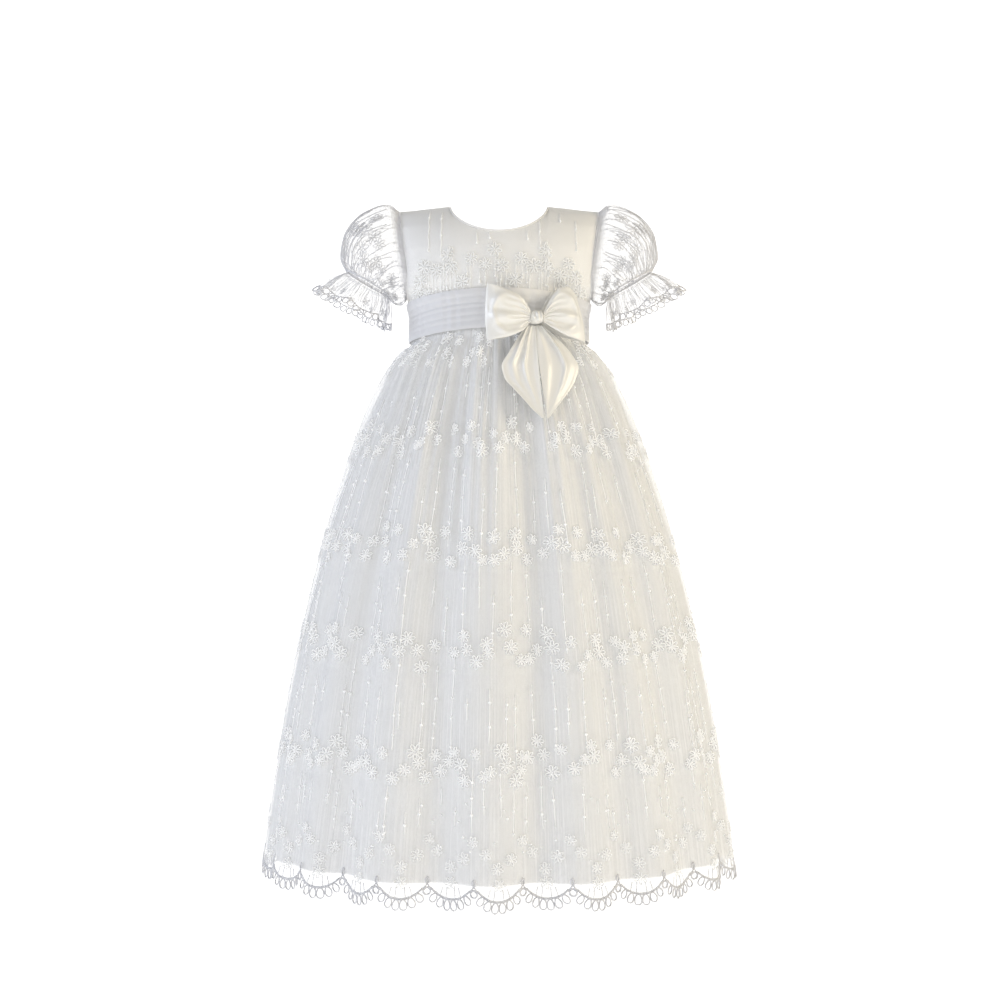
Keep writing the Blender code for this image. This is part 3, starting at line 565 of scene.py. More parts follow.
def skirtPoints(u, drop):
    z = -drop
    angle = turnAngle(u / skirt["hemLength"])
    halfWidth = column(skirt["rows"], 1, z)[:, None]
    gather = column(skirt["rows"], 2, z)[:, None]
    share = column(skirt["rows"], 3, z)[:, None]
    phase = tau * skirt["gathers"] * u / skirt["hemLength"] + 0.9 * ripple(u, skirt["hemLength"], [(11, 1, 0), (17, 0.7, 2)])
    crest = np.cos(phase)[None]
    uneven = (1 + ripple(u, skirt["hemLength"], [(13, 0.30, 1.0), (21, 0.25, 3.0)]))[None]
    small = ripple(u, skirt["hemLength"], skirt["crinkle"])[None]
    bump = gather * (crest * uneven + 0.30 * small) + 0.00035 * small
    bump = bump - 1.8 * share * foldDepth(angle, z) - 1.6 * creaseDepth(angle, z)
    return onRing(angle, halfWidth + bump, depthFor(halfWidth) + bump, z)


def liningPoints(u, drop):
    z = -drop
    angle = tau * u
    halfWidth = column(skirt["rows"], 1, z)[:, None]
    inset = column(lining["rows"], 1, z)[:, None]
    share = column(lining["rows"], 2, z)[:, None]
    bump = -inset - 1.8 * share * foldDepth(angle, z) - 1.6 * share * creaseDepth(angle, z)
    return onRing(angle, halfWidth + bump, depthFor(halfWidth) + bump, z)


hemLength = skirt["hemLength"]
half, quarter = hemLength / 2, hemLength / 4
pitch = hemLength / skirt["scallops"]
skirtUs = np.linspace(-half, half, 2081)
skirtDrops = np.linspace(0.1053, 0.6340, 260)
skirtCloth = Cloth(skirtUs, skirtDrops, skirtPoints(skirtUs, skirtDrops), -1, round=True)
print("skirt surface made")


def laceArc(share):
    return lace["depth"] * (1 - np.abs(2 * share - 1) ** 2.2)


def laceFrame(share):
    # Point on a scallop's arc, the way along it and the way out of it
    step = 0.02
    before, after = max(share - step, 0.0), min(share + step, 1.0)
    along = np.array([(after - before) * pitch, laceArc(after) - laceArc(before)])
    along = np.array([1.0, 0.0]) if share in (0.0, 1.0) else along / np.linalg.norm(along)
    return np.array([share * pitch, laceArc(share)]), along, np.array([-along[1], along[0]])


def sideOf(depths, start):
    # Keeps a front or back half on its own side of the side seams
    gap = waist["seamGap"] / 2
    return np.minimum(depths, -gap) if start < 0 else np.maximum(depths, gap)


def makeSkirtPanel(name, node, start):
    # One half of the tulle, down to the corded arcs of its lace edge
    columns = np.linspace(start, start + half, 13 * 20 + 1)
    shares = np.mod((columns - start) / pitch, 1.0)
    low = -skirt["hem"] + np.maximum(laceArc(shares), 0.0004)
    steps = np.concatenate([np.linspace(0, 0.12, 22)[:-1], np.linspace(0.12, 1, 62)])
    u = np.broadcast_to(columns, (len(steps), len(columns)))
    top = -skirt["rows"][0][0]
    even = top + (-skirt["hem"] - 0.02 - top) * np.minimum(steps / 0.95, 1.0)
    rest = np.clip((steps - 0.95) / 0.05, 0, 1)[:, None]
    v = even[:, None] + rest * (low[None] - even[-1])
    points = skirtCloth.put(u, v)
    points[..., 1] = sideOf(points[..., 1], start)
    made = panel(name, netLook, points, np.stack([u, v], axis=-1))
    # 0 just below a flower row, rising to 1 above the next one
    keys = [0.1053] + [d for row, _ in embroidery["rows"] for d in (row + 0.006, row + 0.024)]
    share = [0.6] + [value for _ in embroidery["rows"] for value in (1.0, 0.0)]
    band = made.data.attributes.new("band", "FLOAT", "POINT")
    band.data.foreach_set("value", np.interp(v, keys + [0.60, 0.64], share + [0.9, 0.0])
                          .astype(np.float32).ravel())
    return wear(made, "tulle", node)


tulleFront = makeSkirtPanel("skirtTulleFront", "skirt_front", -quarter)
tulleBack = makeSkirtPanel("skirtTulleBack", "skirt_back", quarter)


def makeLining(name, start, node):
    # One half of the lining, from side seam to side seam
    us = np.linspace(start, start + 0.5, 181)
    drops = np.concatenate([np.linspace(0.1070, 0.1650, 21)[:-1], np.linspace(0.1650, 0.6085, 56)])
    points = liningPoints(us, drops)
    points[..., 1] = sideOf(points[..., 1], start)
    cut = np.stack(np.broadcast_arrays(us * hemLength * 0.93, drops[:, None]), axis=-1)
    made = panel(name, liningLook, points, cut, wall=0.0009)
    return wear(made, "lining", node)


def makeLiningHem():
    drops = np.linspace(0.1070, 0.6085, 120)
    grid = np.linspace(0, 1, 721)
    cloth = Cloth(grid, drops, liningPoints(grid, drops), 1, round=True)
    hem = Needlework(cloth, 0.0001)
    stitches = 220
    for k in range(stitches):
        u = k / stitches
        hem.strand(np.linspace(u, u + 0.55 / stitches, 3), 0.5955, 0.00018, [0, 0.0001, 0])
    hem.build("liningHemStitches", cordLook, "lining")


liningFront = makeLining("liningFront", -0.25, "skirt_lining_front")
liningBack = makeLining("liningBack", 0.25, "skirt_lining_back")
makeLiningHem()
print("skirt panels made")


# Embroidery of the skirt

def stem(work, u, top, low, thread):
    # A fine stem with a knot every couple of centimetres
    count = max(4, int((low - top) / 0.007))
    drops = np.linspace(top, low, count)
    sway = 0.0007 * np.sin(drops * 60 + u * 90)
    work.strand(u + sway, drops, thread)
    drop = top + rng.uniform(0.004, 0.014)
    while drop < low - 0.002:
        work.knot(u + 0.0007 * math.sin(drop * 60 + u * 90), drop, rng.uniform(0.0010, 0.0014))
        drop += rng.uniform(*embroidery["stemGap"])


def onFront(u):
    return abs((u + half) % hemLength - half) < quarter


def embroider(name, front):
    work = Needlework(skirtCloth, embroidery["lift"])
    thread = embroidery["thread"]
    rows = embroidery["rows"]
    for index, (drop, repeats) in enumerate(rows):
        step = hemLength / repeats
        nextDrop = rows[index + 1][0] if index + 1 < len(rows) else 0.566
        for k in range(repeats):
            middle = -half + step * (k + 0.5 + 0.37 * index % 1.0)
            shift = rng.uniform(-0.005, 0.005)
            fall = rng.uniform(-0.005, 0.005)
            for across, below, size in embroidery["repeat"]:
                paceU, paceV = skirtCloth.pace(drop)
                u = middle + (across * min(1.0, step * paceU / 0.0475) + shift) / paceU
                u += rng.uniform(-0.0025, 0.0025) / paceU
                turn, jitter, size = rng.random(), rng.uniform(-0.003, 0.003), size * rng.uniform(0.8, 1.1)
                if onFront(u) != front or rng.random() < 0.03:
                    continue
                work.flower(u, drop + (below + fall + jitter) / paceV, embroidery["flower"] * size,
                            embroidery["petals"], turn, thread)
            for j in range(3):
                u = middle + step * (j - 1 + rng.uniform(-0.45, 0.45)) / 3
                top = drop + rng.uniform(0.004, 0.045)
                low = nextDrop - (rng.uniform(-0.004, 0.010) if rng.random() < 0.6
                                  else rng.uniform(0.010, 0.055) * (nextDrop - top) / 0.08)
                if onFront(u) != front:
                    continue
                stem(work, u, top, low, thread * rng.uniform(0.48, 0.66))
    # the border above the lace: flowers and loose knots
    step = hemLength / skirt["scallops"]
    for k in range(skirt["scallops"]):
        for across, drop, size in embroidery["border"]:
            u = -half + step * (k + across) + rng.uniform(-0.002, 0.002)
            drop += rng.uniform(-0.0015, 0.0015)
            turn = rng.uniform(0, 1)
            if onFront(u) == front:
                work.flower(u, drop, embroidery["flower"] * size, 7, turn, thread * 0.75)
        for _ in range(5):
            u, drop = -half + step * (k + rng.random()), rng.uniform(0.535, 0.590)
            if onFront(u) == front:
                work.knot(u, drop, rng.uniform(0.0007, 0.0011))
    return work.build(name, threadLook, "tulle")


embroider("skirtEmbroideryFront", True)
embroider("skirtEmbroideryBack", False)
print("skirt embroidery made")


def makeHemLace(name, start):
    # Corded arcs with bell loops, a small loop at each point, stems and flowers in the clear net
    work, flowers = Needlework(skirtCloth, 0.0), Needlework(skirtCloth, 0.0)
    hem = -skirt["hem"]
    for k in range(skirt["scallops"] // 2):
        corner = np.array([start + k * pitch, hem])
        shares = np.linspace(0, 1, 25)
        arc = np.stack([shares * pitch, laceArc(shares)], axis=-1) + corner
        work.strand(arc[:, 0], arc[:, 1], lace["arcCord"], 0.0002)
        inner = np.stack([shares[2:-2] * pitch, laceArc(shares[2:-2]) - 0.0011], axis=-1) + corner
        work.strand(inner[:, 0], inner[:, 1], lace["loopCord"] * 0.7, 0.0001)
        for j in range(lace["loops"]):
            middle, along, out = laceFrame((j + 0.5) / lace["loops"])
            side = abs(2 * j + 1 - lace["loops"]) / (lace["loops"] - 1)
            reach = lace["tip"] * (1.0 - 0.20 * side ** 2)
            wide = pitch / lace["loops"] * (0.56 - 0.06 * side)
            sweep = tau * np.arange(14) / 14
            rise = reach * (0.5 - 0.5 * np.cos(sweep))
            bulge = wide * np.sin(sweep) * (0.72 + 0.38 * (rise / reach))
            path = corner + middle + along * bulge[:, None] + out * rise[:, None]
            work.strand(path[:, 0], path[:, 1], lace["loopCord"], 0.0001, closed=True)
        sweep = tau * np.arange(12) / 12
        drop = corner + np.array([0.0, -0.0030])
        work.strand(drop[0] + 0.0014 * np.sin(sweep) * (1 - 0.3 * np.cos(sweep)),
                    drop[1] - 0.0026 * np.cos(sweep), lace["loopCord"] * 0.9, closed=True)
        centre = corner[0] + pitch / 2
        flowers.flower(centre, hem - 0.0015, 0.0060, 6, rng.uniform(0, 1), 0.00042)
        for away in (-0.0105, -0.0048, 0.0048, 0.0105):
            share = (pitch / 2 + away) / pitch
            low = hem + laceArc(share)
            work.strand(centre + away * np.linspace(0.75, 1, 5), np.linspace(hem + 0.002, low, 5),
                        lace["stemCord"])
    flowers.build(name + "Flowers", bodiceThreadLook, "tulle")
    return work.build(name, cordLook, "tulle")


makeHemLace("hemLaceFront", -quarter)
makeHemLace("hemLaceBack", quarter)
print("hem lace made")


# Bodice

bodice = {
    "neckHalf": 0.046, "frontNeck": 0.032, "backNeck": 0.014, "shoulderDrop": 0.004,
    "shoulderRound": 0.060, "frontChest": 0.060, "backChest": 0.055, "swell": 0.020,
    "opening": 0.0004, "backingWall": 0.0009,
    # the armhole seam: height, side, distance from mid-depth
    "armhole": [(-0.0040, 0.0940, 0.0000), (-0.0100, 0.0930, 0.0115), (-0.0240, 0.0912, 0.0210),
                (-0.0460, 0.0876, 0.0270), (-0.0670, 0.0855, 0.0265), (-0.0810, 0.0862, 0.0180),
                (-0.0875, 0.0872, 0.0000)],
}
underarm = bodice["armhole"][-1][0]


def bodiceEdge(z):
    # Where a bodice panel ends at height z: on the armhole, or below it on the side seam
    side = np.where(z >= underarm, column(bodice["armhole"], 1, z, np.interp),
                    column(body, 1, z, np.interp))
    depth = np.where(z >= underarm, column(bodice["armhole"], 2, z, np.interp), 0.0)
    return side, depth


def shoulderLine(x):
    run = bodice["armhole"][0][1] - bodice["neckHalf"]
    return -bodice["shoulderDrop"] * np.clip((np.abs(x) - bodice["neckHalf"]) / run, 0, 1)


def bodiceTop(x, neckDrop):
    inside = np.clip(1 - (x / bodice["neckHalf"]) ** 2, 0, 1)
    return np.where(np.abs(x) < bodice["neckHalf"], -neckDrop * np.sqrt(inside), shoulderLine(x))


def bodicePoints(angle, share, face):
    # angle runs from armhole to armhole, share from the waist seam to the top; face 1 is the front
    neckDrop = bodice["frontNeck"] if face > 0 else bodice["backNeck"]
    chestDepth = bodice["frontChest"] if face > 0 else bodice["backChest"]
    across = np.sin(angle)
    top = np.zeros_like(across)
    for _ in range(8):
        top = bodiceTop(bodiceEdge(top)[0] * across, neckDrop)
    level = waist["seam"] + (top - waist["seam"]) * share
    lift = waistLift(angle) if face > 0 else 0.0
    z = level + lift * np.clip((waist["liftTop"] - level) / (waist["liftTop"] - underarm), 0, 1)
    side, edgeDepth = bodiceEdge(level)
    x = side * across
    rise = np.clip(1 + (z - shoulderLine(x)) / bodice["shoulderRound"], 0, 1)
    swell = np.clip((level - underarm) / bodice["swell"], 0, 1)
    chest = np.where(level < underarm, column(body, 2, level, np.interp),
                     body[0][2] + (chestDepth - body[0][2]) * swell)
    depth = chest * np.sqrt(1 - rise * rise)
    y = edgeDepth + np.maximum(depth - edgeDepth, 0.0) * np.cos(angle) + waist["seamGap"] / 2
    return np.stack([x, -face * y, z], axis=-1)


def bodiceCloth(face, low=-math.pi / 2, high=math.pi / 2):
    angles = np.linspace(low, high, 221)
    shares = np.linspace(0, 1, 121)
    grid = bodicePoints(*np.broadcast_arrays(angles[None], shares[:, None]), face)
    return Cloth(angles, shares, grid, face)


def bodicePlace(x, z, face):
    # The cut's position under a point of the front or back view
    neckDrop = bodice["frontNeck"] if face > 0 else bodice["backNeck"]
    level = z
    for _ in range(4):
        angle = math.asin(max(-0.999, min(0.999, x / float(bodiceEdge(np.array(level))[0]))))
        lift = float(waistLift(np.array(angle))) if face > 0 else 0.0
        rest = (waist["liftTop"] - level) / (waist["liftTop"] - underarm)
        level = z - lift * max(0.0, min(1.0, rest))
    top = float(bodiceTop(np.array(x), neckDrop))
    return angle, (level - waist["seam"]) / (top - waist["seam"])


bodiceFlowers = {
    "size": 0.0066, "thread": 0.00052,
    # across and height of each flower on the front
    "front": [(-0.0467, -0.0557), (-0.0680, -0.0641), (-0.0568, -0.0674), (-0.0434, -0.0674),
              (-0.0249, -0.0590), (-0.0040, -0.0507), (-0.0123, -0.0641), (0.0027, -0.0649),
              (-0.0333, -0.0790), (0.0203, -0.0590), (0.0144, -0.0775), (0.0421, -0.0540),
              (0.0312, -0.0657), (0.0438, -0.0665), (0.0555, -0.0724), (0.0631, -0.0620),
              (-0.0745, -0.0833), (-0.0660, -0.0885), (-0.0770, -0.0940), (-0.0715, -0.0760),
              (0.0698, -0.0733), (0.0590, -0.0840), (0.0740, -0.0860)],
    # stems above the flowers: across, top and bottom height
    "stems": [(-0.0643, -0.010, -0.050), (-0.0526, -0.012, -0.056), (-0.0199, -0.034, -0.045),
              (-0.0082, -0.034, -0.040), (0.0262, -0.032, -0.041), (0.0371, -0.021, -0.050),
              (0.0563, -0.012, -0.022), (0.0706, -0.020, -0.049)],
    "back": [(0.0200, -0.0480), (0.0430, -0.0520), (0.0660, -0.0490), (0.0300, -0.0620),
             (0.0540, -0.0640), (0.0730, -0.0680), (0.0380, -0.0740), (0.0620, -0.0790)],
    "backStems": [(0.0260, -0.016, -0.042), (0.0480, -0.010, -0.046), (0.0640, -0.012, -0.042)],
}


def makeBodiceFront():
    cloth = bodiceCloth(1)
    angles = np.linspace(-math.pi / 2, math.pi / 2, 91)
    shares = np.linspace(0, 1, 61)
    u, v = np.broadcast_arrays(angles[None], shares[:, None])
    cut = np.stack([u * 0.085, v * 0.105], axis=-1)
    made = panel("bodiceFront", backingLook, cloth.put(u, v, -0.0001), cut,
                 wall=bodice["backingWall"], side=1)
    wear(made, "tulle", "bodice_front")
    net = panel("bodiceNetFront", bodiceNetLook, cloth.put(u, v, 0.00035), cut)
    wear(net, "tulle")
    work = Needlework(cloth, 0.0007, lambda x, z: bodicePlace(x, z, 1))
    stitchFlowers(work, bodiceFlowers["front"], bodiceFlowers["stems"], 1)
    work.build("bodiceEmbroideryFront", bodiceThreadLook, "tulle")
    return made, net


def stitchFlowers(work, flowers, stems, face):
    # Flowers with two or three stems hanging from each, and a few stems above them
    stems = list(stems)
    for x, z in flowers:
        work.flower(x, z, bodiceFlowers["size"] * rng.uniform(0.90, 1.08), 7,
                    rng.uniform(0, 1), bodiceFlowers["thread"])
        for away in (-0.0042, 0.0, 0.0042):
            top, low = z - rng.uniform(0.004, 0.007), z - rng.uniform(0.016, 0.034)
            if rng.random() < 0.8 and top - max(low, -0.094) > 0.004:
                stems.append((x + away + rng.uniform(-0.001, 0.001), top, max(low, -0.094)))
    for x, top, low in stems:
        drops = np.linspace(top, low, max(3, int((top - low) / 0.004)))
        places = np.array([bodicePlace(x + 0.0004 * math.sin(z * 400), z, face) for z in drops])
        work.strand(places[:, 0], places[:, 1], 0.00034)
        z = top - rng.uniform(0.006, 0.014)
        while z > low:
            work.knot(x, z, rng.uniform(0.0008, 0.0011))
            z -= rng.uniform(0.012, 0.020)
        work.knot(x, low, 0.0010)


def makeBodiceBack():
    made = []
    edge = math.radians(0.14)
    for side, name, node in ((-1, "bodiceBackLeft", "bodice_back_left"),
                             (1, "bodiceBackRight", "bodice_back_right")):
        low, high = (edge, math.pi / 2) if side > 0 else (-math.pi / 2, -edge)
        cloth = bodiceCloth(-1)
        angles = np.linspace(low, high, 51)
        shares = np.linspace(0, 1, 61)
        u, v = np.broadcast_arrays(angles[None], shares[:, None])
        cut = np.stack([u * 0.085, v * 0.105], axis=-1)
        piece = panel(name, backingLook, cloth.put(u, v, -0.0001), cut,
                      wall=bodice["backingWall"], side=-1)
        wear(piece, "tulle", node)
        made.append(piece)
        net = panel(name + "Net", bodiceNetLook, cloth.put(u, v, 0.00035), cut)
        wear(net, "tulle")
        made.append(net)
        work = Needlework(cloth, 0.0007, lambda x, z: bodicePlace(x, z, -1))
        stitchFlowers(work, [(side * x, z) for x, z in bodiceFlowers["back"]],
                      [(side * x, top, low) for x, top, low in bodiceFlowers["backStems"]], -1)
        work.build(name + "Embroidery", bodiceThreadLook, "tulle")
    return made


def spaceTube(name, look, path, radius, slot, outward, sides=8, closed=False):
    # A cord along points in space; outward gives the side that its ring starts from
    path = np.asarray(path, float)
    normal = np.broadcast_to(np.asarray(outward, float), path.shape)
    points, faces = tubes(path[None], normal[None], [radius], closed, sides)
    return wear(meshPiece(name, look, points, faces), slot)


def neckEdge(face):
    angles = np.linspace(-1, 1, 161) * math.asin(bodice["neckHalf"] / 0.0942) * 0.995
    return bodicePoints(angles, np.ones_like(angles), face)


def makeNeckline():
    # Narrow rolled binding round the neck, one run at the front and one each side of the opening
    front = neckEdge(1)
    back = neckEdge(-1)
    middle = len(back) // 2
    for name, path in (("neckBindingFront", front), ("neckBindingBackLeft", back[:middle]),
                       ("neckBindingBackRight", back[middle + 1:])):
        path = path - np.array([0, 0, 0.0002])
        spaceTube(name, backingLook, path, 0.0009, "tulle", (0, 0, 1))


bodiceFront, bodiceNetFront = makeBodiceFront()
bodiceBack = makeBodiceBack()
makeNeckline()
print("bodice made")


# Sleeves and ruffles

sleeve = {
    "gathers": 12,
    # rings from armhole to cuff: highest and lowest point, half depth, height of the gathers
    "rings": [(0.1065, 0.0026, 0.0905, -0.0905, 0.0355, 0.0007),
              (0.1310, -0.0070, 0.0945, -0.0925, 0.0385, 0.0010),
              (0.1475, -0.0290, 0.0990, -0.0915, 0.0365, 0.0012),
              (0.1500, -0.0480, 0.1020, -0.0880, 0.0300, 0.0014),
              (0.1450, -0.0610, 0.1040, -0.0840, 0.0220, 0.0006)],
    "crinkle": [(31, 0.5, 1.0), (43, 0.4, 2.0)],
}
ruffle = {
    "waves": 8, "edge": 0.294, "scallops": 8, "loops": 5, "cusp": 0.0255, "depth": 0.0040,
    # distance from the cuff, then as for the sleeve
    "rings": [(0.0000, 0.1455, -0.0618, 0.1043, -0.0848, 0.0220, 0.0005),
              (0.0120, 0.1560, -0.0672, 0.1038, -0.0955, 0.0285, 0.0026),
              (0.0255, 0.1672, -0.0752, 0.1052, -0.1080, 0.0345, 0.0040),
              (0.0360, 0.1760, -0.0815, 0.1066, -0.1172, 0.0390, 0.0048)],
}


def armRing(ring, turn, bulge):
    # Ring of the sleeve; turn 0 is its top, a quarter is its front
    topX, topZ, lowX, lowZ, halfDepth = ring[:5]
    middle = np.array([(topX + lowX) / 2, 0, (topZ + lowZ) / 2])
    reach = np.array([(topX - lowX) / 2, 0, (topZ - lowZ) / 2])
    cos, sin = np.cos(tau * turn)[:, None], np.sin(tau * turn)[:, None]
    depth = np.array([0.0, -1.0, 0.0])
    radial = reach / np.linalg.norm(reach) * cos + depth * sin
    return middle + reach * cos + depth * halfDepth * sin + radial * bulge[:, None]


def armholeRing(turn):
    share = np.where(turn % 1.0 <= 0.5, 2 * (turn % 1.0), 2 - 2 * (turn % 1.0))
    keys = np.linspace(0, 1, len(bodice["armhole"]))
    z, x, y = (np.interp(share, keys, [row[c] for row in bodice["armhole"]]) for c in range(3))
    return np.stack([x + waist["seamGap"], np.where(turn % 1.0 <= 0.5, -y, y), z], axis=-1)


def sleevePoints(turn, level):
    wave = np.cos(tau * sleeve["gathers"] * turn)
    small = ripple(turn, 1.0, sleeve["crinkle"])
    rings = [armholeRing(turn)]
    rings += [armRing(ring, turn, ring[5] * (wave + 0.45 * small)) for ring in sleeve["rings"]]
    return smoothRun(np.arange(len(rings)), np.array(rings), level)


def rufflePoints(u, v):
    turn = u / ruffle["edge"]
    wave = np.cos(tau * ruffle["waves"] * turn + 0.6)
    small = ripple(turn, 1.0, [(24, 0.12, 0.0), (37, 0.10, 1.0)])
    rings = [armRing(ring[1:], turn, ring[6] * (wave + small)) for ring in ruffle["rings"]]
    points = smoothRun([ring[0] for ring in ruffle["rings"]], np.array(rings), v)
    way = rings[-1] - rings[-2]
    way /= np.linalg.norm(way, axis=1, keepdims=True)
    past = np.maximum(0.0, np.asarray(v) - ruffle["rings"][-1][0])
    return points + way[None] * past[:, None, None]


def mirror(cloth, side):
    if side > 0:
        return cloth
    flip = np.array([-1.0, 1.0, 1.0])
    other = Cloth(cloth.us, cloth.vs, cloth.points * flip, 1, cloth.round)
    other.normals = cloth.normals * flip
    return other


def makeSleeve(side, arm):
    turns = np.linspace(0, 1, 481)
    levels = np.linspace(0, 5, 161)
    cloth = mirror(Cloth(turns, levels, sleevePoints(turns, levels), -1, round=True), side)
    us = np.linspace(0, 1, 289)[:-1]
    vs = np.linspace(0, 5, 71)
    u, v = np.broadcast_arrays(us[None], vs[:, None])
    points = cloth.put(u, v)
    cut = np.stack([u * 0.26, v * 0.016], axis=-1)
    net = panel("sleeveTulle" + arm, sleeveNetLook, points, cut, closed=True)
    wear(net, "tulle", "sleeve_" + arm.lower())
    work = Needlework(cloth, 0.0003)
    for turn, level, size in [(0.16, 2.1, 1.05), (0.23, 1.7, 1.0), (0.30, 2.2, 1.0), (0.10, 2.5, 0.95),
                              (0.20, 2.6, 1.05), (0.37, 1.9, 0.95), (0.27, 2.9, 0.9), (0.06, 1.9, 0.9),
                              (0.13, 1.5, 0.9), (0.34, 2.8, 0.9), (0.44, 2.4, 0.9),
                              (0.62, 2.2, 1.0), (0.70, 1.8, 1.0), (0.78, 2.3, 1.0), (0.86, 1.9, 0.95),
                              (0.93, 2.3, 0.95), (0.66, 2.8, 0.9), (0.82, 2.8, 0.9)]:
        work.flower(turn, level, 0.0062 * size, 7, rng.uniform(0, 1), 0.00038)
    count = 66
    for k in range(count):
        turn = (k + rng.uniform(-0.4, 0.4)) / count
        top = rng.choice([0.3, 1.2, 2.2, 2.8, 3.1]) + rng.uniform(-0.2, 0.2)
        levels = np.linspace(max(0.05, top), 5.0, 22)
        sway = 0.006 * np.sin(levels * 2.3 + k) * np.minimum(1, (5 - levels))
        work.strand(turn + sway, levels, rng.uniform(0.00026, 0.00042))
        level = top + rng.uniform(0.3, 1.0)
        while level < 4.6:
            work.knot(turn + 0.006 * math.sin(level * 2.3 + k) * min(1, 5 - level), level, 0.0009)
            level += rng.uniform(0.9, 1.6)
    for level in (0.12, 0.30):
        work.strand(np.linspace(0, 1, 160, endpoint=False), level, 0.00035, closed=True)
    for k in range(60):
        turn = k / 60 + rng.uniform(-0.004, 0.004)
        levels = np.linspace(0.03, rng.uniform(0.45, 0.9), 5)
        work.strand(turn + 0.004 * np.sin(levels * 9), levels, 0.00026)
    work.build("sleeveEmbroidery" + arm, sleeveThreadLook, "tulle")
    band = Needlework(cloth, 0.0001)
    ring = np.linspace(0, 1, 240, endpoint=False)
    for k, level in enumerate((4.86, 4.94, 5.0)):
        band.strand(ring, level + 0.02 * np.cos(tau * 40 * ring + k), 0.00055, 0.0003, closed=True)
    band.build("sleeveElastic" + arm, cordLook, "tulle", sides=5)
    return net


def makeRuffle(side, arm):
    edge = ruffle["edge"]
    us = np.linspace(0, edge, 641)
    vs = np.linspace(0, 0.0400, 81)
    cloth = mirror(Cloth(us, vs, rufflePoints(us, vs), -1, round=True), side)
    made = []
    step = edge / ruffle["scallops"]
    for start, part in ((0.0, "Front"), (edge / 2, "Back")):
        u = np.linspace(start, start + edge / 2, 161)
        share = np.mod(u / step, 1.0)
        arc = ruffle["cusp"] + ruffle["depth"] * (1 - np.abs(2 * share - 1) ** 2.2)
        steps = np.linspace(0, 1, 28)
        v = steps[:, None] * arc[None]
        u = np.broadcast_to(u, v.shape)
        points = cloth.put(u, v)
        points[..., 1] = sideOf(points[..., 1], -1 if part == "Front" else 1)
        net = panel("ruffleTulle" + arm + part, ruffleNetLook, points, np.stack([u, v], axis=-1))
        wear(net, "tulle", f"ruffle_{arm.lower()}_{part.lower()}")
        made.append(net)
    work = Needlework(cloth, 0.0001)
    for k in range(ruffle["scallops"]):
        corner = np.array([k * step, ruffle["cusp"]])
        shares = np.linspace(0, 1, 17)
        arc = np.stack([shares * step, ruffle["depth"] * (1 - np.abs(2 * shares - 1) ** 2.2)], axis=-1)
        work.strand(corner[0] + arc[:, 0], corner[1] + arc[:, 1], 0.00055, 0.0001)
        for j in range(ruffle["loops"]):
            share = (j + 0.5) / ruffle["loops"]
            middle = corner + np.array([share * step,
                                        ruffle["depth"] * (1 - abs(2 * share - 1) ** 2.2)])
            lean = (share - 0.5) * -0.5
            sweep = tau * np.arange(14) / 14
            rise = 0.0066 * (0.5 - 0.5 * np.cos(sweep))
            bulge = 0.0034 * np.sin(sweep) * (0.8 + 0.3 * rise / 0.0066)
            across = bulge * math.cos(lean) - rise * math.sin(lean)
            down = bulge * math.sin(lean) + rise * math.cos(lean)
            work.strand(middle[0] + across, middle[1] + down, 0.00066, closed=True)
    count = 64
    for k in range(count):
        u = edge * (k + rng.uniform(-0.35, 0.35)) / count
        low = rng.choice([0.020, 0.024, 0.0265])
        drops = np.linspace(0.0005, low, 10)
        work.strand(u + 0.0009 * np.sin(drops * 260 + k), drops, rng.uniform(0.00020, 0.00032))
        if k % 4 == 0:
            work.knot(u, low * 0.6, 0.0007)
    for k in range(ruffle["scallops"]):
        work.flower((k + 0.5) * step, ruffle["cusp"] - 0.0045, 0.0046, 5, rng.uniform(0, 1), 0.00032)
    work.build("ruffleLace" + arm, sleeveThreadLook, "tulle")
    return made


sleeves, ruffles = [], []
for side, arm in ((-1, "Left"), (1, "Right")):
    sleeves.append(makeSleeve(side, arm))
    ruffles.append(makeRuffle(side, arm))
print("sleeves and ruffles made")


# Sash

sash = {"gap": 0.0007, "wall": 0.0010, "closing": 0.0025,
        # pleats: where each one's fold lies, 0 at the top edge and 1 at the bottom
        "pleats": [0.0, 0.19, 0.36, 0.48, 0.66, 0.80, 1.0]}


def sashPoints(angle, share):
    # Each pleat swells from under the one above it and turns in sharply at its lower fold
    z = waist["sashTop"] + (waist["sashBottom"] - waist["sashTop"]) * share
    halfWidth = column(body, 1, z, np.interp)[:, None]
    halfDepth = column(body, 2, z, np.interp)[:, None]
    wander = 0.012 * ripple(angle, tau, [(2, 1.0, 0.5), (5, 0.7, 2.0), (9, 0.4, 1.0)])
    place = np.clip(share[:, None] + wander[None] * np.sin(np.pi * share)[:, None], 0, 1)
    folds = np.array(sash["pleats"])
    k = np.clip(np.searchsorted(folds, place, side="right") - 1, 0, len(folds) - 2)
    t = (place - folds[k]) / (folds[k + 1] - folds[k])
    swell = np.sin(np.pi * t ** 1.5) ** 0.8
    strength = 0.75 + 0.25 * ripple(angle, tau, [(3, 0.6, 1.2), (7, 0.4, 0.2)])[None]
    edge = np.minimum(1, np.minimum(share, 1 - share) * 14)[:, None]
    out = sash["gap"] + 0.0013 + 0.0007 * swell * strength * (0.4 + 0.6 * edge)
    out = out + 0.0002 * ripple(angle, tau, [(47, 1, 0), (61, 0.8, 1)])[None] * edge
    ringX = (halfWidth + out) * np.sin(angle)[None]
    ringY = -(halfDepth + out) * np.cos(angle)[None]
    return np.stack([ringX, ringY, z[:, None] + waistLift(angle)[None]], axis=-1)


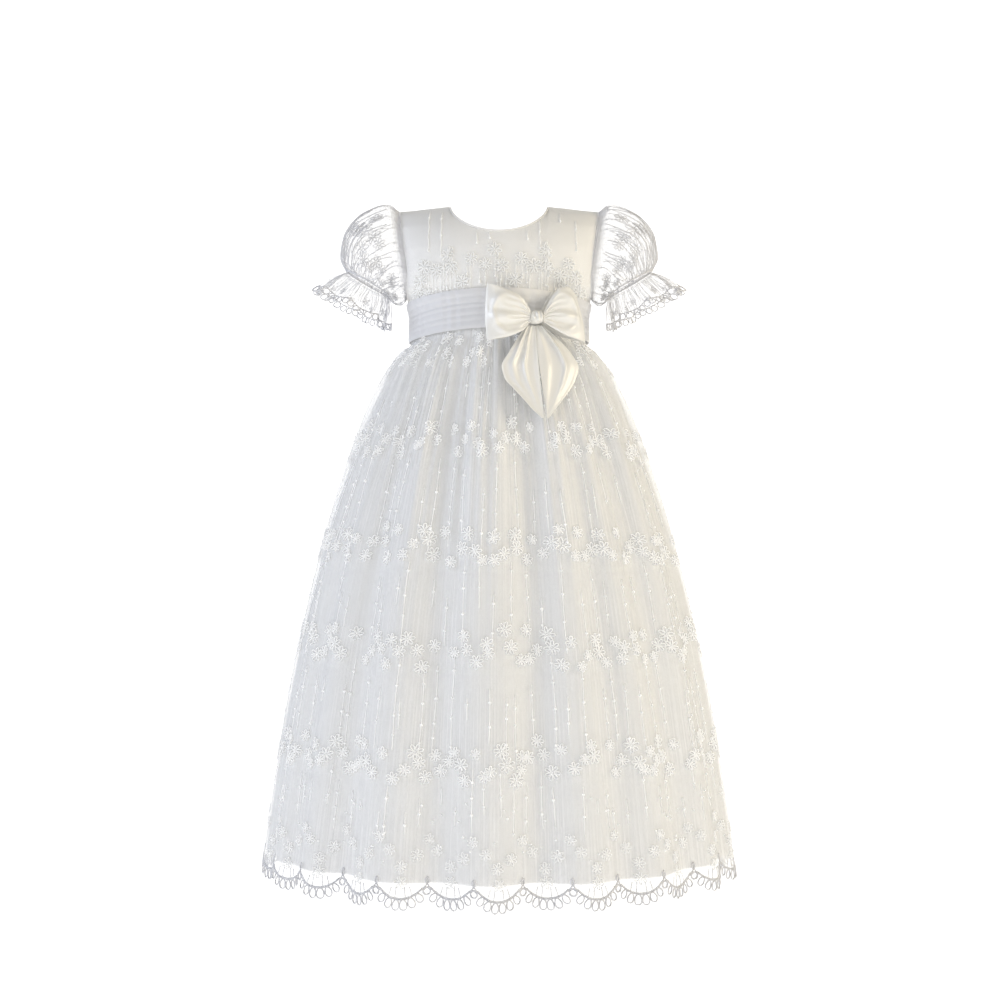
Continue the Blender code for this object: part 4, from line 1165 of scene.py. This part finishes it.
def makeSash():
    angles = np.linspace(-math.pi + sash["closing"], math.pi - sash["closing"], 301)
    shares = np.linspace(0, 1, 61)
    points = sashPoints(angles, shares)
    cut = np.stack(np.broadcast_arrays(angles[None] * 0.073, shares[:, None] * 0.060), axis=-1)
    made = panel("sashPleated", organzaLook, points, cut, wall=sash["wall"], side=-1)
    return wear(made, "organza", "sash")


sashPleated = makeSash()
print("sash made")


# Bow

bow = {
    "knot": np.array([0.033, -0.0652, -0.113]), "knotSize": (0.0066, 0.0099, 0.0060),
    "turn": math.radians(16), "puff": 0.0052, "wall": 0.0008, "rim": 0.0018, "slit": 0.0014,
    # edges of each loop: outward and up at the top, outward and up at the bottom
    "left": [(0.0063, 0.0050, 0.0063, -0.0050), (0.0150, 0.0170, 0.0150, -0.0135),
             (0.0270, 0.0225, 0.0270, -0.0185), (0.0370, 0.0265, 0.0370, -0.0205),
             (0.0455, 0.0285, 0.0455, -0.0225)],
    "right": [(0.0063, 0.0052, 0.0063, -0.0050), (0.0125, 0.0170, 0.0130, -0.0095),
              (0.0210, 0.0260, 0.0250, -0.0155), (0.0300, 0.0280, 0.0360, -0.0185),
              (0.0390, 0.0200, 0.0475, -0.0210)],
    # creases from the knot: place across the loop, depth, width, how far out they reach
    "creases": [(0.13, 0.0018, 0.040, 0.60), (0.28, 0.0026, 0.045, 0.85), (0.41, 0.0020, 0.035, 0.55),
                (0.55, 0.0028, 0.045, 0.95), (0.70, 0.0020, 0.040, 0.65), (0.85, 0.0018, 0.045, 0.80)],
    # tails: height, left edge, slit, right edge, how far forward at the slit
    "tails": [(-0.1203, 0.0240, 0.0328, 0.0410, 0.0625), (-0.1330, 0.0160, 0.0335, 0.0545, 0.0655),
              (-0.1450, 0.0090, 0.0347, 0.0655, 0.0690), (-0.1580, 0.0025, 0.0360, 0.0720, 0.0730),
              (-0.1690, 0.0050, 0.0372, 0.0690, 0.0757), (-0.1780, 0.0125, 0.0382, 0.0642, 0.0778),
              (-0.1870, 0.0208, 0.0393, 0.0577, 0.0800), (-0.1960, 0.0288, 0.0403, 0.0508, 0.0822),
              (-0.2045, 0.0388, 0.0412, 0.0436, 0.0840)],
    # their folds: place across, depth, width
    "leftFolds": [(0.30, 0.0030, 0.09), (0.62, 0.0022, 0.05)],
    "rightFolds": [(0.20, 0.0012, 0.10), (0.66, 0.0034, 0.07)],
}


def bowSpace(side, out, forward, up):
    # From the bow's own directions to the gown's
    cos, sin = math.cos(bow["turn"]), math.sin(bow["turn"])
    return np.stack([bow["knot"][0] + cos * side * out + sin * forward,
                     bow["knot"][1] + sin * side * out - cos * forward,
                     bow["knot"][2] + up], axis=-1)


def makeBowLoop(side, name, table, node):
    path = np.linspace(0, 1, 97)
    share = np.linspace(0, 1, 65)[:, None]
    keys = np.linspace(0, 1, len(table))
    reach = np.where((path > 0) & (path < 1), np.sin(np.pi * path) ** 0.9, 0.0)
    edges = [smoothRun(keys, [row[c] for row in table], reach)[None] for c in range(4)]
    reach = reach[None]
    out = edges[2] + (edges[0] - edges[2]) * share
    out = out + 0.0018 * np.sin(np.pi * share) * reach ** 3
    up = edges[3] + (edges[1] - edges[3]) * share
    front = (path < 0.5)[None]
    crease = 0.0013 * np.cos(tau * 2.5 * share) * np.sin(np.pi * reach)
    fine = np.zeros_like(out)
    for place, depth, width, far in bow["creases"]:
        run = np.clip(reach / far, 0, 1)
        fine = fine + depth * np.sin(np.pi * run) ** 0.6 * np.exp(-((share - place) / (width * (1 + reach))) ** 2)
    belly = 0.0034 * np.sin(np.pi * share) * np.sin(np.pi * np.clip(reach, 0, 1) ** 1.6)
    rim = np.hypot((share - 0.5) / 0.5, np.clip((reach - 0.45) / 0.5, -1, None))
    belly = belly + bow["rim"] * np.exp(-((rim - 0.80) / 0.13) ** 2) * np.clip(reach * 3, 0, 1)
    forward = np.cos(np.pi * path)[None] * bow["puff"] * (1 + 0.5 * np.sin(np.pi * reach))
    forward = forward + np.where(front, crease * 0.6 - fine * 0.9 + belly, 0.3 * crease)
    hem = np.exp(-((share - 0.035) / 0.02) ** 2) + np.exp(-((share - 0.965) / 0.02) ** 2)
    forward = forward + np.where(front, 0.00035, -0.00035) * hem * np.sin(np.pi * reach)
    points = bowSpace(side, out, forward, up)
    cut = np.stack(np.broadcast_arrays(path[None] * 0.11, share * 0.05), axis=-1)
    made = panel(name, satinLook, points, cut, wall=bow["wall"], side=side)
    return wear(made, "satin", node)


def makeBowTail(name, first, second, node):
    # Falls from the knot; its creases start in the knot and die out towards the points
    rows = bow["tails"]
    drops = np.linspace(-rows[0][0], -rows[-1][0], 97)
    u = np.linspace(0, 1, 49)[None]
    low = column(rows, first, -drops)[:, None]
    high = column(rows, second, -drops)[:, None]
    fall = ((drops - drops[0]) / (drops[-1] - drops[0]))[:, None]
    # the slit opens towards the points
    low, high = (low + bow["slit"] * fall ** 2, high) if first == 2 else \
        (low, high - bow["slit"] * fall ** 2)
    x = low + (high - low) * u
    crease = 0.0006 * np.cos(tau * 1.5 * u) * np.sin(np.pi * fall)
    fade = np.sin(np.pi * np.clip(fall * 1.15 + 0.04, 0, 1) ** 0.6)
    for place, depth, width in bow["rightFolds" if first == 2 else "leftFolds"]:
        place = place + 0.10 * (0.5 - fall) * (1 if first == 2 else -1)
        crease = crease + depth * fade * np.exp(-((u - place) / width) ** 2)
    middle = rows[3][2]

    def skirtCurve(x):
        return 0.0719 * np.sqrt(1 - (x / 0.113) ** 2)

    forward = column(rows, 4, -drops)[:, None] + skirtCurve(x) - skirtCurve(middle)
    if first == 2:
        forward = forward - 0.0009 * np.exp(-(u / 0.06) ** 2)
    else:
        forward = forward + 0.0026 * np.sin(np.pi * fall ** 0.8) * np.exp(-((1 - u) / 0.12) ** 2)
    hem = np.exp(-((u - (0.05 if first == 1 else 0.95)) / 0.03) ** 2)
    points = np.stack([x, -forward - crease - 0.0003 * hem, np.broadcast_to(-drops[:, None], x.shape)],
                      axis=-1)
    cut = np.stack([x, np.broadcast_to(drops[:, None], x.shape)], axis=-1)
    made = panel(name, satinLook, points, cut, wall=bow["wall"], side=-1)
    return wear(made, "satin", node)


def makeKnot():
    rows, columns = 40, 72
    polar = np.linspace(0, math.pi, rows)[:, None]
    turn = np.linspace(0, tau, columns, endpoint=False)[None]
    sphere = np.stack(np.broadcast_arrays(np.sin(polar) * np.cos(turn), np.sin(polar) * np.sin(turn),
                                          np.cos(polar)), axis=-1)
    squared = np.sign(sphere) * np.abs(sphere) ** 0.8
    out, forward, up = (squared[..., k] * bow["knotSize"][k] for k in range(3))
    folds = np.cos(out * (tau / 0.0040) + 1.6 * np.sin(up * 330 + 0.6)) * 0.0007
    forward = forward * (1 + folds / 0.0099 * np.abs(sphere[..., 1]) * 1.6)
    points = bowSpace(1, out, forward, up)
    cut = np.stack([out, up], axis=-1)
    made = panel("bowKnot", satinLook, points, cut, closed=True)
    return wear(made, "satin", "bow_knot")


bowPieces = [
    makeBowLoop(-1, "bowLoopLeft", bow["left"], "bow_loop_left"),
    makeBowLoop(1, "bowLoopRight", bow["right"], "bow_loop_right"),
    makeBowTail("bowTailLeft", 1, 2, "bow_tail_left"),
    makeBowTail("bowTailRight", 2, 3, "bow_tail_right"),
]
makeKnot()
print("bow made")


# Buttons and their loops

button = {"radius": 0.0045, "height": 0.0026, "side": 0.0060, "shares": (0.86, 0.56, 0.26)}


def makeButtons():
    cloth = bodiceCloth(-1)
    angle = math.asin(button["side"] / body[0][1])
    profile = [(0.0, 0.0), (0.72, 0.0), (0.86, 0.10), (0.98, 0.32), (1.0, 0.46), (0.96, 0.58),
               (0.86, 0.66), (0.78, 0.70), (0.60, 0.86), (0.35, 0.96), (0.0, 1.0)]
    turn = np.linspace(0, tau, 48, endpoint=False)
    for k, share in enumerate(button["shares"]):
        seat = cloth.put(angle, share, 0.0003)
        out = Vector(cloth.sample(cloth.normals, np.array(angle), np.array(share)))
        rings = np.array([[(r * button["radius"] * math.cos(t), r * button["radius"] * math.sin(t),
                            h * button["height"]) for t in turn] for r, h in profile[1:-1]])
        spin = np.array(out.to_track_quat("Z", "Y").to_matrix())
        points = (rings @ spin.T + seat).reshape(-1, 3)
        faces = []
        for i in range(len(rings) - 1):
            for j in range(48):
                a, b = i * 48 + j, i * 48 + (j + 1) % 48
                faces.append((a, b, b + 48, a + 48))
        faces.append(list(range(48))[::-1])
        faces.append([(len(rings) - 1) * 48 + j for j in range(48)])
        made = meshPiece(f"buttonPearl{k + 1}", pearlLook, points, faces, sharp=50)
        wear(made, "pearl", f"button_{k + 1}")


def makeButtonLoops():
    # Thread loops from the left back's edge round each button, and the topstitching of the closing
    cloth = bodiceCloth(-1)
    work = Needlework(cloth, 0.0009)
    angle = math.asin(button["side"] / body[0][1])
    for share in button["shares"]:
        sweep = np.linspace(-0.5, 0.5, 17) * math.radians(250)
        work.shape(angle, share, 0.0053 * np.cos(sweep), 0.0053 * np.sin(sweep), 0.00045)
        for way in (-1, 1):
            start = math.radians(125) * way
            work.shape(angle, share, np.linspace(0.0053 * math.cos(start), -0.0068, 6),
                       0.0053 * np.linspace(math.sin(start), way * 0.35, 6), 0.00045)
    for x in (-0.0110, 0.0125):
        z = -0.016
        while z > -0.090:
            places = np.array([bodicePlace(x, level, -1) for level in (z, z - 0.0009, z - 0.0018)])
            work.strand(places[:, 0], places[:, 1], 0.00016, -0.0006)
            z -= 0.0030
    work.build("buttonLoops", threadLook, "tulle", sides=5)


makeButtons()
makeButtonLoops()
print("buttons made")


# Camera, light and stage

camera = {"side": 0.0014, "distance": 1.26, "height": -0.278, "view": 41.35}
# area lights: place, size, power, colour
lights = {
    "sideLeft": ((-1.5, -0.5, 0.2), 0.7, 7.9, (0.74, 0.82, 1.0)),
    "sideRight": ((1.5, -0.6, 0.3), 0.7, 10.8, (1.0, 0.87, 0.62)),
    "frontHigh": ((-0.3, -1.6, 1.0), 0.9, 5.3, (1.0, 0.98, 0.94)),
    "frontLow": ((0.1, -1.1, -1.1), 0.8, 9.9, (0.93, 0.94, 1.0)),
}
stage = {"floor": -0.86, "wall": 1.6, "width": 3.2, "bend": 0.7, "front": -4.0, "top": 1.4}


def makeStage():
    # Floor and wall in one sheet with a round bend
    path = [(stage["front"], stage["floor"])]
    for k in range(17):
        turn = math.pi / 2 * k / 16
        path.append((stage["wall"] - stage["bend"] + stage["bend"] * math.sin(turn),
                     stage["floor"] + stage["bend"] - stage["bend"] * math.cos(turn)))
    path.append((stage["wall"], stage["top"]))
    rows = np.array([[(x * stage["width"] / 2, y, z) for x in (1, -1)] for y, z in path])
    look = Look("stagePaper", Roughness=0.9, Specular_IOR_Level=0.1)
    tone = look.noise(look.solidPlace(3.0), 2.0)
    look.set("Base Color", look.blend(tone, (0.955, 0.955, 0.955), (0.965, 0.965, 0.965)))
    look.set("Emission Color", (1.0, 1.0, 1.0))
    look.set("Emission Strength", 0.62)
    paper = panel("stagePaper", look, rows, rows[..., :2])


def makeLights():
    world = bpy.data.worlds.new("studio")
    world.use_nodes = True
    ground = world.node_tree.nodes["Background"]
    ground.inputs["Color"].default_value = (1.0, 1.0, 1.0, 1.0)
    ground.inputs["Strength"].default_value = 0.30
    bpy.context.scene.world = world
    for name, (place, size, power, color) in lights.items():
        lamp = bpy.data.lights.new(name, "AREA")
        lamp.shape, lamp.size, lamp.energy, lamp.color = "DISK", size, power, color
        made = bpy.data.objects.new(name, lamp)
        made.location = place
        aim = Vector((0, 0, camera["height"])) - Vector(place)
        made.rotation_euler = aim.to_track_quat("-Z", "Y").to_euler()
        bpy.context.scene.collection.objects.link(made)


def makeCamera():
    data = bpy.data.cameras.new("camera")
    data.sensor_fit = "HORIZONTAL"
    data.angle = math.radians(camera["view"])
    made = bpy.data.objects.new("camera", data)
    made.location = (camera["side"], -camera["distance"], camera["height"])
    made.rotation_euler = (math.pi / 2, 0, 0)
    bpy.context.scene.collection.objects.link(made)
    bpy.context.scene.camera = made


makeStage()
makeLights()
makeCamera()
bpy.context.scene.view_settings.view_transform = "Standard"
print("camera, lights and stage made")
